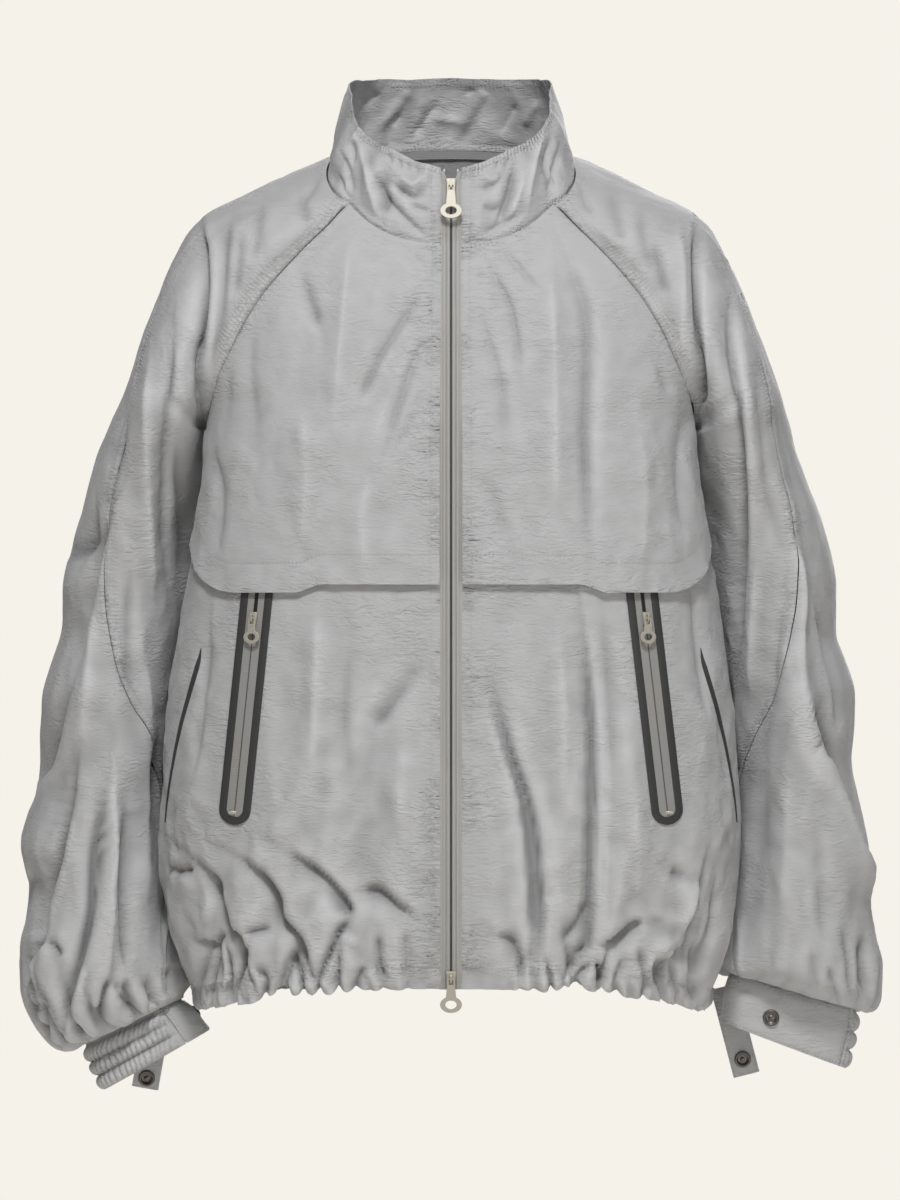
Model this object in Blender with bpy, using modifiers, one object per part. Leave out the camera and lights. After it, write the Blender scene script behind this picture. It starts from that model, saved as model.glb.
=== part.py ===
"""Windbreaker jacket, hollow and filled out as when it is worn.

Metres, +Z up. The front faces -Y, and the wearer's right side is at -X. The origin lies between
the shoulders, level with the sides of the neck seam, where the neck and shoulders hold the jacket.
Each piece of cloth is a grid of outer points placed by a function, and the same grid again one
wall further in, joined round its edges.
"""

import math
from collections import namedtuple

import bmesh
import bpy
from mathutils import Vector
from mathutils.bvhtree import BVHTree

OBJECT_NAME = "windbreaker_jacket"

# Cloth
WALL = 0.0015
TAPE_THICKNESS = 0.0008
SEAM_GAP = 0.0004
LIFT = 0.0006  # clearance under a tape that lies on a panel

# Zips
ZIP_HALF_WIDTH = 0.0075
ZIP_TOP_Z = -0.0035
ZIP_BOTTOM_Z = -0.664
SLIDER_HALF_WIDTH = 0.0043
SLIDER_HALF_HEIGHT = 0.0060
SLIDER_DEPTH = 0.0026
SLIDER_NARROWING = 0.72  # the lower end's share of the width
SLIDER_ROUNDING = 0.0008
BRIDGE_HALF_WIDTH = 0.0008
BRIDGE_WALL = 0.0010
BRIDGE_HOLE = 0.0022
BRIDGE_TOP = 0.0040
BRIDGE_BOTTOM = -0.0030
BRIDGE_CHAMFER = 0.0007
PULL_THICKNESS = 0.0012
PULL_RADIUS = 0.0066
PULL_HOLE = 0.52  # the ring's hole, as a share of its radius
PULL_SHOULDER = math.radians(118)  # where the neck of the pull meets its ring
EYE_HALF_WIDTH = 0.0014
EYE_BOTTOM = -0.0046
NECK_HALF_WIDTH = 0.0024
NECK_BOTTOM = -0.0058
BAR_HALF_HEIGHT = 0.0006
TOP_SLIDER_Z = -0.0160
TOP_PULL_LENGTH = 0.0290
BOTTOM_SLIDER_Z = -0.6545
BOTTOM_PULL_LENGTH = 0.0270

# Neck
NECK_FRONT_Z = -0.0616
NECK_BACK_Z = 0.025
NECK_TAPE_DROP = 0.002
NECK_TAPE_WIDTH = 0.008
NECK_TAPE_ENDS = (0.04, 0.96)  # as shares of the neck seam behind

# Front yoke, a cape that hangs free at its lower edge and its side
YOKE_HEM_Z = -0.3450
YOKE_HEM_NEAR_ZIP_Z = -0.3385
YOKE_STEP_X = 0.108
YOKE_STEP_WIDTH = 0.010
YOKE_SIDE_ANGLE = math.radians(79)
YOKE_CORNER_Z = -0.306
YOKE_CORNER_ANGLE = math.radians(45)
YOKE_CORNER_START = 0.65
YOKE_LIFT = 0.0032
YOKE_FLARE = 0.0020  # how much further the free lower edge stands off
YOKE_FLARE_Z = -0.270
YOKE_LIFT_Z = -0.190
YOKE_ROWS = 12

# Lower body
FRONT_TOP_Z = -0.228
HEM_CENTRE_Z = -0.6640
HEM_SIDE_Z = -0.6860
HEM_BACK_Z = -0.6700
HEM_BAND = 0.018
HEM_GATHER = 0.0042
HEM_GATHER_BULGE = (0.10, 0.85)  # the part of a half wave that a gather follows down the band
HEM_FLAT_X = 0.035  # the hem is flat beside the zip as far as this
HEM_FLAT_BLEND = 0.030

# Pockets: a zip inside a U of bonded tape
POCKET_TOP = {-1: (0.1538, -0.3250), 1: (0.1512, -0.3250)}
POCKET_BOTTOM = (0.1737, -0.5195)
POCKET_RADIUS = 0.0128
POCKET_BAND = 0.0062
POCKET_STRIP_OVERRUN = 0.55  # how far the zip runs into the round end, as a share of its radius
POCKET_STRIP_WIDTH = 0.98  # the strip's share of the opening
POCKET_STRIP_ROUND = 0.03  # the share of its length over which its lower end is rounded
POCKET_STRIP_CUT = 0.35
POCKET_SLIDER_Z = -0.3660
POCKET_SLIDER_SCALE = 0.85
POCKET_PULL_LENGTH = 0.0205
POCKET_PULL_RADIUS = 0.0054

# Cuffs and sleeves
CUFF_GATHER = 0.0050
CUFF_GATHER_ROW = 16.5
CUFF_GATHER_ROWS = 2.5
CUFF_MIDDLE_Y = 0.008
CUFF_HALF_DEPTH = 0.028
CUFF_POWER = 0.85
CUFF_RIB = 0.0012
DRAPE_FADE = 25  # degrees from a raglan seam over which the drapes fade
SLEEVE_COLUMNS = 28
CAP_ROWS = 7
TONGUE_START_ROW = 5
TONGUE_END_ROW = 14
STRAP_WIDTH = 0.022
STRAP_THICKNESS = 0.0016
STRAP_BOW = 0.004
STRAP_BOW_TURN = 2.5  # radians of the wave that the strap follows
STRAP_SNAP_SHARE = 0.82  # how far down the strap its snap lies
SNAP_RADIUS = 0.0068
SNAP_TOP_RADIUS = 0.0054
SNAP_HEIGHT = 0.0022
SNAP_LIFT = 0.0005

Level = namedtuple("Level", "z half_width front back power")
BODY_LEVELS = (
    Level(0.040, 0.112, 0.050, 0.078, 2.1),
    Level(-0.028, 0.150, 0.079, 0.100, 2.2),
    Level(-0.062, 0.184, 0.099, 0.113, 2.35),
    Level(-0.100, 0.205, 0.115, 0.124, 2.6),
    Level(-0.158, 0.206, 0.127, 0.132, 2.9),
    Level(-0.213, 0.2005, 0.134, 0.135, 3.0),
    Level(-0.300, 0.211, 0.140, 0.140, 2.9),
    Level(-0.400, 0.226, 0.145, 0.145, 2.7),
    Level(-0.480, 0.2345, 0.149, 0.149, 2.6),
    Level(-0.565, 0.2370, 0.153, 0.152, 2.6),
    Level(-0.620, 0.2300, 0.151, 0.150, 2.6),
    Level(-0.660, 0.2160, 0.143, 0.141, 2.6),
    Level(-0.690, 0.2020, 0.133, 0.131, 2.6),
)

# The raglan seams, from the neck to the armpit, in front and behind
Seam = namedtuple("Seam", "front_x front_z back_x back_z")
RAGLAN = (
    Seam(0.0830, -0.028, 0.0720, 0.020),
    Seam(0.1050, -0.050, 0.0980, -0.006),
    Seam(0.1245, -0.069, 0.1210, -0.034),
    Seam(0.1520, -0.101, 0.1500, -0.073),
    Seam(0.1690, -0.127, 0.1680, -0.107),
    Seam(0.1850, -0.158, 0.1845, -0.146),
    Seam(0.1955, -0.187, 0.1955, -0.183),
    Seam(0.1995, -0.213, 0.1995, -0.213),
)

# The collar's top edge: angle from the front centre line, and height
COLLAR_TOP = (
    (0, -0.0020), (10, 0.0010), (22, 0.0085), (34, 0.0160), (49, 0.0245), (57, 0.0320),
    (68, 0.0425), (80, 0.0580), (95, 0.0700), (120, 0.0775), (180, 0.0815),
)
COLLAR_TOP_HALF_WIDTH = 0.0845
COLLAR_TOP_FRONT = 0.088
COLLAR_TOP_BACK = 0.074
COLLAR_POWER = 2.3
COLLAR_BULGE = 0.003
COLLAR_FRONT_COLUMNS = 5
COLLAR_BACK_COLUMNS = 4
# The columns of the sleeve that the collar's columns meet on the shoulder
SHOULDER_COLUMNS = (0, 2, 4, 7, 21, 24, 26, 28)

# Sleeve sections over the shoulder: the outer point, and half of the depth
Cap = namedtuple("Cap", "outer_x outer_z half_depth")
CAP = (
    Cap(0.101, 0.006, 0.072),
    Cap(0.139, -0.010, 0.082),
    Cap(0.171, -0.022, 0.088),
    Cap(0.204, -0.037, 0.092),
    Cap(0.222, -0.060, 0.094),
    Cap(0.2385, -0.098, 0.094),
    Cap(0.255, -0.138, 0.093),
    Cap(0.271, -0.183, 0.092),
)

# Sleeve sections below the armpit, down to the top of the cuff
Section = namedtuple("Section", "outer_x outer_z inner_x inner_z middle_y half_depth")
RIGHT_SLEEVE = (
    Section(0.289, -0.228, 0.2050, -0.245, 0.014, 0.093),
    Section(0.306, -0.283, 0.2105, -0.292, 0.032, 0.094),
    Section(0.321, -0.336, 0.2170, -0.340, 0.042, 0.095),
    Section(0.3225, -0.378, 0.2235, -0.385, 0.044, 0.095),
    Section(0.338, -0.428, 0.2300, -0.433, 0.044, 0.096),
    Section(0.3405, -0.482, 0.2350, -0.485, 0.044, 0.097),
    Section(0.3430, -0.512, 0.2370, -0.530, 0.044, 0.098),
    Section(0.3555, -0.550, 0.2375, -0.565, 0.042, 0.098),
    Section(0.3500, -0.592, 0.2365, -0.600, 0.038, 0.096),
    Section(0.3565, -0.636, 0.2330, -0.630, 0.030, 0.092),
    Section(0.3500, -0.684, 0.2280, -0.656, 0.020, 0.078),
    Section(0.3270, -0.712, 0.2235, -0.6705, 0.012, 0.054),
    Section(0.3040, -0.7180, 0.2185, -0.6765, 0.008, 0.032),
)
LEFT_SLEEVE = (
    Section(0.283, -0.228, 0.2050, -0.245, 0.014, 0.093),
    Section(0.3040, -0.283, 0.2105, -0.292, 0.032, 0.094),
    Section(0.3170, -0.331, 0.2170, -0.340, 0.042, 0.095),
    Section(0.3185, -0.380, 0.2235, -0.385, 0.044, 0.095),
    Section(0.3335, -0.424, 0.2300, -0.433, 0.044, 0.096),
    Section(0.3310, -0.478, 0.2350, -0.485, 0.044, 0.097),
    Section(0.3375, -0.512, 0.2370, -0.530, 0.044, 0.098),
    Section(0.3465, -0.553, 0.2375, -0.565, 0.042, 0.098),
    Section(0.3440, -0.600, 0.2360, -0.598, 0.038, 0.096),
    Section(0.3525, -0.643, 0.2330, -0.625, 0.030, 0.090),
    Section(0.3510, -0.671, 0.2285, -0.644, 0.020, 0.076),
    Section(0.3450, -0.6855, 0.2270, -0.6520, 0.012, 0.054),
    Section(0.3370, -0.6885, 0.2265, -0.6555, 0.008, 0.032),
)

# Cuffs: the corners seen from the front, and the angles between which the band is elastic
Cuff = namedtuple("Cuff", "outer_top inner_top outer_bottom inner_bottom elastic_from elastic_to")
RIGHT_CUFF = Cuff((0.3030, -0.7190), (0.2180, -0.6775), (0.2860, -0.7535), (0.1975, -0.7030), -70, 122)
LEFT_CUFF = Cuff((0.3360, -0.6900), (0.2260, -0.6570), (0.3255, -0.7355), (0.2215, -0.6965), -150, 32)
# Cuff straps: the middle of each end as seen from the front, and how far back the strap lies
Strap = namedtuple("Strap", "top bottom y")
STRAPS = {
    -1: Strap((-0.2440, -0.7060), (-0.2525, -0.7540), 0.0440),
    1: Strap((0.2250, -0.6700), (0.2440, -0.7430), 0.0460),
}
# The snaps on the cuffs: the angle round the cuff, and the share of the way down it
CUFF_SNAPS = {-1: (205, 0.45), 1: (103, 0.57)}

# How far round the sleeve, from its outer line, the elbow seam lies at each row
ELBOW_SEAM = (
    (0, 6), (4, 10), (5, 17), (6, 28), (7, 41), (8, 50), (9, 63), (10, 75), (11, 85), (12, 113),
    (13, 153), (14, 170), (17, 150), (20, 135),
)

# The tapered tape on each side: its height, its angle round the body, and its width
Taper = namedtuple("Taper", "z degrees width")
SIDE_TAPE = (
    Taper(-0.390, 60, 0.0016),
    Taper(-0.400, 60.5, 0.0036),
    Taper(-0.430, 64.5, 0.0040),
    Taper(-0.455, 68, 0.0040),
    Taper(-0.486, 72, 0.0036),
    Taper(-0.515, 75.5, 0.0028),
    Taper(-0.532, 77, 0.0014),
)

# Folds of the body in front: both ends, half of the width, and the height (a trough is negative)
Fold = namedtuple("Fold", "x0 z0 x1 z1 width height")
FOLD_TAPER = 0.25  # the share of a fold's length over which it fades at each end
FOLD_END = 0.4
FRONT_FOLDS = (
    Fold(-0.196, -0.545, -0.128, -0.632, 0.012, 0.0060),
    Fold(-0.168, -0.540, -0.085, -0.602, 0.009, -0.0050),
    Fold(-0.090, -0.588, -0.022, -0.620, 0.010, 0.0045),
    Fold(-0.232, -0.560, -0.200, -0.582, 0.010, -0.0040),
    Fold(0.024, -0.400, 0.048, -0.505, 0.010, -0.0050),
    Fold(0.048, -0.505, 0.068, -0.660, 0.012, -0.0090),
    Fold(0.108, -0.345, 0.118, -0.500, 0.012, 0.0040),
    Fold(0.118, -0.500, 0.104, -0.645, 0.012, 0.0080),
    Fold(0.170, -0.540, 0.206, -0.562, 0.009, -0.0045),
)
BACK_FOLDS = (
    Fold(-0.175, -0.470, -0.110, -0.640, 0.014, 0.0070),
    Fold(-0.060, -0.440, -0.040, -0.650, 0.013, -0.0060),
    Fold(0.030, -0.420, 0.055, -0.650, 0.014, 0.0070),
    Fold(0.120, -0.460, 0.160, -0.640, 0.013, -0.0070),
    Fold(-0.120, -0.180, -0.060, -0.380, 0.020, 0.0040),
    Fold(0.125, -0.180, 0.070, -0.390, 0.020, 0.0040),
)
# Folds round the sleeves: row of each end, angle from the outer line, width in degrees, and height
Drape = namedtuple("Drape", "row0 angle0 row1 angle1 width height")
SLEEVE_DRAPES = (
    Drape(3.0, 100, 7.5, 118, 17, -0.009),
    Drape(3.0, 68, 10.0, 84, 22, 0.004),
    Drape(9.0, 30, 13.0, 60, 14, -0.007),
    Drape(12.0, 14, 14.5, 75, 13, 0.006),
    Drape(14.0, 60, 18.0, 95, 14, -0.007),
    Drape(14.5, 20, 18.0, 30, 14, 0.007),
    Drape(3.0, -100, 7.5, -118, 17, -0.009),
    Drape(9.0, -30, 13.0, -60, 14, -0.007),
    Drape(13.0, -20, 16.0, -75, 13, 0.006),
    Drape(14.0, -60, 18.0, -95, 14, -0.007),
)


def between(low, high, share):
    """The point or number at this share of the way from low to high."""
    return low + (high - low) * share


def ease(share):
    """0 below 0, 1 above 1, and a smooth step between."""
    share = min(max(share, 0.0), 1.0)
    return share * share * (3 - 2 * share)


def along(knots, values, at):
    """A smooth curve through values at rising or falling knots, read at one place."""
    if knots[0] > knots[-1]:
        knots, values = knots[::-1], values[::-1]
    at = min(max(at, knots[0]), knots[-1])
    last = len(knots) - 2
    i = next((k for k in range(last) if at < knots[k + 1]), last)

    def slope(k):
        a, b = max(k - 1, 0), min(k + 1, len(knots) - 1)
        return (values[b] - values[a]) / (knots[b] - knots[a])

    step = knots[i + 1] - knots[i]
    t = (at - knots[i]) / step
    rise = values[i + 1] - values[i]
    start, end = slope(i) * step, slope(i + 1) * step
    return values[i] + t * (start + t * (3 * rise - 2 * start - end + t * (start + end - 2 * rise)))


def column(rows, name):
    return [getattr(row, name) for row in rows]


def body_size(name, z):
    """One measure of the body at this height."""
    return along(column(BODY_LEVELS, "z"), column(BODY_LEVELS, name), z)


def body_angle(x, z):
    """The angle from the front centre line at which the body's outline reaches x."""
    share = min(abs(x) / body_size("half_width", z), 1.0)
    return math.copysign(math.asin(share ** (body_size("power", z) / 2)), x)


def ridge(x, z, fold):
    """The height of one soft fold at a place, from its distance to the fold's line."""
    start, end = Vector((fold.x0, fold.z0)), Vector((fold.x1, fold.z1))
    line = end - start
    share = (Vector((x, z)) - start).dot(line) / line.length_squared
    nearest = between(start, end, min(max(share, 0.0), 1.0))
    distance = (Vector((x, z)) - nearest).length / fold.width
    taper = ease(share / FOLD_TAPER + FOLD_END) * ease((1 - share) / FOLD_TAPER + FOLD_END)
    return fold.height * math.exp(-distance * distance) * taper


def body(angle, z, lift=0.0):
    """A point of the body's outer side. Angle 0 is the front centre line, and 90 degrees is +X."""
    sine, cosine = math.sin(angle), math.cos(angle)
    power = 2 / body_size("power", z)
    depth = body_size("front" if cosine > 0 else "back", z)
    x = math.copysign(abs(sine) ** power, sine) * (body_size("half_width", z))
    y = -math.copysign(abs(cosine) ** power, cosine) * depth
    folds = FRONT_FOLDS if cosine > 0 else BACK_FOLDS
    height = lift + abs(cosine) * sum(ridge(x, z, fold) for fold in folds)
    outwards = Vector((sine, -cosine, 0.0))
    return Vector((x, y, z)) + outwards * height


def raglan_point(row, front):
    """Angle and height of a raglan seam at +X, from row 0 at the neck to CAP_ROWS at the armpit."""
    if row >= CAP_ROWS:
        return math.pi / 2, RAGLAN[-1].front_z
    knots = range(CAP_ROWS + 1)
    face = "front" if front else "back"
    x = along(knots, column(RAGLAN, face + "_x"), row)
    z = along(knots, column(RAGLAN, face + "_z"), row)
    angle = body_angle(x, z)
    return (angle if front else math.pi - angle), z


def sleeve_section(side, row):
    """One section of a sleeve: its middle, the vectors to its outer and back points, its end angle."""
    tube = RIGHT_SLEEVE if side < 0 else LEFT_SLEEVE
    rows = range(CAP_ROWS + 1 + len(tube))
    outer_x = along(rows, column(CAP, "outer_x") + column(tube, "outer_x"), row)
    outer_z = along(rows, column(CAP, "outer_z") + column(tube, "outer_z"), row)
    half_depth = along(rows, column(CAP, "half_depth") + column(tube, "half_depth"), row)
    backwards = Vector((0.0, 1.0, 0.0))
    seam_depth = 0.0
    if row < CAP_ROWS:
        front = body(*raglan_point(row, True))
        back = body(*raglan_point(row, False))
        inner = (front + back) / 2
        seam_depth = (back - front).length / 2
        backwards = (back - front).normalized()
    else:
        knots = range(CAP_ROWS, CAP_ROWS + 1 + len(tube))
        inner = Vector((
            along(knots, [RAGLAN[-1].front_x] + column(tube, "inner_x"), row),
            along(knots, [0.0] + column(tube, "middle_y"), row),
            along(knots, [RAGLAN[-1].front_z] + column(tube, "inner_z"), row),
        ))
    half_depth = max(half_depth, seam_depth)
    end_angle = math.pi - math.asin(seam_depth / half_depth)
    outer = Vector((outer_x, inner.y, outer_z))
    outwards = (outer - inner) / (1 - math.cos(end_angle))
    return outer - outwards, outwards, backwards * half_depth, end_angle


def sleeve_angle(row, u, end_angle):
    """The angle round a section for u from 0, the front seam, to 1, the back seam."""
    knots = [knot for knot, _ in ELBOW_SEAM]
    seam = math.radians(along(knots, [degrees for _, degrees in ELBOW_SEAM], row))
    across = abs(u - 0.5) * 2
    if across > 0.5:
        angle = between(seam, end_angle, across * 2 - 1)
    else:
        angle = seam * across * 2
    return math.copysign(angle, 0.5 - u)


def sleeve(side, row, u, lift=0.0):
    """A point of a sleeve, this far outside its outer side. Rows run from the neck to the cuff."""
    middle, outwards, backwards, end_angle = sleeve_section(side, row)
    angle = sleeve_angle(row, u, end_angle)
    from_seam = math.degrees(end_angle - abs(angle))
    height = 0.0
    for drape in SLEEVE_DRAPES:
        share = (row - drape.row0) / (drape.row1 - drape.row0)
        centre = between(drape.angle0, drape.angle1, share)
        distance = (math.degrees(angle) - centre) / drape.width
        height += drape.height * math.exp(-distance * distance) * ease(share * 4) * ease((1 - share) * 4)
    height = height * ease(from_seam / DRAPE_FADE) + lift
    if round(u * SLEEVE_COLUMNS) % 2:
        height += CUFF_GATHER * ease((row - CUFF_GATHER_ROW) / CUFF_GATHER_ROWS)
    outwards = outwards * (1 + height / outwards.length)
    backwards = backwards * (1 + height / backwards.length)
    point = middle + outwards * math.cos(angle) - backwards * math.sin(angle)
    point.x *= side
    return point


def patch(first_row, last_row, inner, outer):
    """A Coons patch between four edges. Each edge is a function from 0 to 1 to a Vector."""

    def place(u, v):
        rows = between(first_row(u), last_row(u), v)
        columns = between(inner(v), outer(v), u)
        corners = between(
            between(first_row(0), first_row(1), u), between(last_row(0), last_row(1), u), v
        )
        return rows + columns - corners

    return place


def material(name, colour, roughness, metallic=0.0):
    """A plain Principled material, its colour given as linear red, green and blue."""
    made = bpy.data.materials.new(name)
    made.use_nodes = True
    shader = made.node_tree.nodes["Principled BSDF"]
    shader.inputs["Base Color"].default_value = (*colour, 1.0)
    shader.inputs["Roughness"].default_value = roughness
    shader.inputs["Metallic"].default_value = metallic
    return made


def add_object(name, mesh, finish):
    """Links a mesh object into the jacket's collection."""
    made = bpy.data.objects.new(name, mesh)
    mesh.materials.append(finish)
    bpy.data.collections[OBJECT_NAME].objects.link(made)
    return made


def edge_moves(bm, gap):
    """How far each vertex on an open edge of a sheet moves into it, half of the gap at a seam."""
    bm.normal_update()
    moves = {}
    for edge in bm.edges:
        if not edge.is_boundary:
            continue
        face = edge.link_faces[0]
        start, end = edge.verts
        inwards = (end.co - start.co).cross(face.normal).normalized()
        if inwards.dot(face.calc_center_median() - start.co) < 0:
            inwards.negate()
        for vert in edge.verts:
            moves[vert.index] = moves.get(vert.index, Vector()) + inwards
    return {index: move.normalized() * (gap / 2) for index, move in moves.items()}


def panel(name, columns, rows, place, finish, keep=None, wall=WALL, gap=SEAM_GAP):
    """A piece of cloth: a grid of outer points at place(u, v, 0), and inner ones a wall behind."""
    bm = bmesh.new()
    bmesh.ops.create_grid(bm, x_segments=columns, y_segments=rows, size=0.5)
    if keep:
        centres = {face: face.calc_center_median() for face in bm.faces}
        dropped = [face for face, at in centres.items() if not keep(at.x + 0.5, at.y + 0.5)]
        bmesh.ops.delete(bm, geom=dropped, context="FACES")
    bm.verts.index_update()
    number = bm.verts.layers.int.new("number")
    inner = {}
    for vert in bm.verts:
        u, v = vert.co.x + 0.5, vert.co.y + 0.5
        vert[number] = vert.index
        vert.co = place(u, v, 0.0)
        inner[vert.index] = place(u, v, -wall)
    moves = edge_moves(bm, gap)
    for index, move in moves.items():
        inner[index] += move
    bm.verts.ensure_lookup_table()
    for index, move in moves.items():
        bm.verts[index].co += move
    extruded = bmesh.ops.extrude_face_region(bm, geom=bm.faces[:], use_keep_orig=True)
    for vert in extruded["geom"]:
        if isinstance(vert, bmesh.types.BMVert):
            vert.co = inner[vert[number]]
    bmesh.ops.recalc_face_normals(bm, faces=bm.faces)
    mesh = bpy.data.meshes.new(name)
    bm.to_mesh(mesh)
    bm.free()
    mesh.shade_smooth()
    mesh.set_sharp_from_angle(angle=math.radians(50))
    return add_object(name, mesh, finish)


def neck_seam_front(u):
    """Angle and height of the neck seam at +X in front, from the zip to the raglan seam."""
    x = between(ZIP_HALF_WIDTH, RAGLAN[0].front_x, u)
    rise = (x / RAGLAN[0].front_x) ** 2.8
    z = between(NECK_FRONT_Z, RAGLAN[0].front_z, rise)
    return Vector((body_angle(x, z), z))


def neck_seam_back(u):
    """Angle and height of the neck seam behind, from the raglan seam at +X to the one at -X."""
    x = between(RAGLAN[0].back_x, -RAGLAN[0].back_x, u)
    drop = (x / RAGLAN[0].back_x) ** 2
    z = between(NECK_BACK_Z, RAGLAN[0].back_z, drop)
    return Vector((math.pi - body_angle(x, z), z))


def beside_zip(z):
    """Angle and height of the front edge at +X, where it meets the zip."""
    return Vector((body_angle(ZIP_HALF_WIDTH, z), z))


def hem_z(angle):
    """The height of the hem's lower edge round the body."""
    centre = HEM_CENTRE_Z if math.cos(angle) > 0 else HEM_BACK_Z
    return between(centre, HEM_SIDE_Z, math.sin(angle) ** 2)


def yoke_bottom(u):
    """Angle and height of the yoke's lower edge, with its step near the zip and its round corner."""
    corner = (u - YOKE_CORNER_START) / (1 - YOKE_CORNER_START) * math.pi / 2
    if corner > 0:
        angle = between(YOKE_CORNER_ANGLE, YOKE_SIDE_ANGLE, corner / (math.pi / 2))
        return Vector((angle, between(YOKE_CORNER_Z, YOKE_HEM_Z, math.cos(corner))))
    start = beside_zip(YOKE_HEM_NEAR_ZIP_Z)
    angle = between(start.x, YOKE_CORNER_ANGLE, u / YOKE_CORNER_START)
    x = body(angle, YOKE_HEM_Z).x
    step = ease((x - YOKE_STEP_X) / YOKE_STEP_WIDTH)
    return Vector((angle, between(YOKE_HEM_NEAR_ZIP_Z, YOKE_HEM_Z, step)))


def yoke_side(v):
    """The yoke's outer edge: the raglan seam, then the free edge down to the corner."""
    row = v * YOKE_ROWS
    if row <= CAP_ROWS:
        angle, z = raglan_point(row, True)
        return Vector((min(angle, YOKE_SIDE_ANGLE), z))
    share = (row - CAP_ROWS) / (YOKE_ROWS - CAP_ROWS)
    return Vector((YOKE_SIDE_ANGLE, between(RAGLAN[-1].front_z, YOKE_CORNER_Z, share)))


def make_yoke(side, word, finish):
    edges = patch(
        neck_seam_front,
        yoke_bottom,
        lambda v: beside_zip(between(NECK_FRONT_Z, YOKE_HEM_NEAR_ZIP_Z, v)),
        yoke_side,
    )

    def place(u, v, lift):
        angle, z = edges(u, v)
        lift += YOKE_LIFT * ease((YOKE_LIFT_Z - z) / (YOKE_LIFT_Z - FRONT_TOP_Z))
        lift += YOKE_FLARE * ease((YOKE_FLARE_Z - z) / (YOKE_FLARE_Z - YOKE_HEM_Z))
        return body(angle * side, z, lift)

    return panel("front_yoke_" + word, 10, YOKE_ROWS, place, finish)


def make_front(side, word, finish):
    def top(u):
        return between(beside_zip(FRONT_TOP_Z), Vector((math.pi / 2, FRONT_TOP_Z)), u)

    def bottom(u):
        start = beside_zip(HEM_CENTRE_Z + HEM_BAND)
        angle = between(start.x, math.pi / 2, u)
        return Vector((angle, hem_z(angle) + HEM_BAND))

    def zip_edge(v):
        return beside_zip(between(FRONT_TOP_Z, HEM_CENTRE_Z + HEM_BAND, v))

    def side_seam(v):
        return Vector((math.pi / 2, between(FRONT_TOP_Z, HEM_SIDE_Z + HEM_BAND, v)))

    edges = patch(top, bottom, zip_edge, side_seam)

    def place(u, v, lift):
        angle, z = edges(u, v)
        return body(angle * side, z, lift)

    return panel("front_" + word, 12, 14, place, finish)


def make_back(finish):
    rows = CAP_ROWS + 12

    def side_edge(v):
        row = v * rows
        if row <= CAP_ROWS:
            return Vector(raglan_point(row, False))
        share = (row - CAP_ROWS) / (rows - CAP_ROWS)
        return Vector((math.pi / 2, between(RAGLAN[-1].back_z, HEM_SIDE_Z + HEM_BAND, share)))

    def far_edge(v):
        angle, z = side_edge(v)
        return Vector((2 * math.pi - angle, z))

    def bottom(u):
        angle = between(math.pi / 2, math.pi * 1.5, u)
        return Vector((angle, hem_z(angle) + HEM_BAND))

    edges = patch(neck_seam_back, bottom, side_edge, far_edge)
    return panel("back", 20, rows, lambda u, v, lift: body(*edges(u, v), lift), finish)


def make_hem(name, columns, from_angle, to_angle, finish):
    """An elastic casing round part of the hem, gathered into one fold for each two columns."""

    def place(u, v, lift):
        angle = between(from_angle, to_angle, u)
        z = hem_z(angle) + HEM_BAND * (1 - v)
        clear_of_zip = 1.0
        if math.cos(angle) > 0:
            clear_of_zip = ease((abs(body(angle, z).x) - HEM_FLAT_X) / HEM_FLAT_BLEND)
        if round(u * columns) % 2:
            lift += HEM_GATHER * math.sin(math.pi * between(*HEM_GATHER_BULGE, v)) * clear_of_zip
        return body(angle, z, lift)

    return panel(name, columns, 3, place, finish)


def make_sleeve(side, word, finish):
    tube = RIGHT_SLEEVE if side < 0 else LEFT_SLEEVE
    rows = CAP_ROWS + len(tube)

    def place(u, v, lift):
        return sleeve(side, v * rows, u, lift)

    def in_lower(u, v):
        row = v * rows
        tongue = 0.25 < u < 0.75 and row > TONGUE_START_ROW
        return tongue or row > TONGUE_END_ROW

    def in_upper(u, v):
        return not in_lower(u, v)

    for name, kept in (("sleeve_upper_", in_upper), ("sleeve_lower_", in_lower)):
        panel(name + word, SLEEVE_COLUMNS, rows, place, finish, keep=kept)


def collar_base(step):
    """The neck seam at +X, counted in the collar's columns from the zip to the back centre."""
    if step <= COLLAR_FRONT_COLUMNS:
        return body(*neck_seam_front(step / COLLAR_FRONT_COLUMNS))
    step -= COLLAR_FRONT_COLUMNS
    last = len(SHOULDER_COLUMNS) - 1
    if step <= last:
        return sleeve(1, 0, along(range(last + 1), SHOULDER_COLUMNS, step) / SLEEVE_COLUMNS)
    return body(*neck_seam_back((step - last) / COLLAR_BACK_COLUMNS / 2))


def collar_top(angle):
    """A point of the collar's top edge at +X."""
    knots = [knot for knot, _ in COLLAR_TOP]
    z = along(knots, [height for _, height in COLLAR_TOP], math.degrees(angle))
    sine, cosine = math.sin(angle), math.cos(angle)
    depth = COLLAR_TOP_FRONT if cosine > 0 else COLLAR_TOP_BACK
    x = COLLAR_TOP_HALF_WIDTH * abs(sine) ** (2 / COLLAR_POWER)
    y = -depth * math.copysign(abs(cosine) ** (2 / COLLAR_POWER), cosine)
    return Vector((x, y, z))


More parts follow.
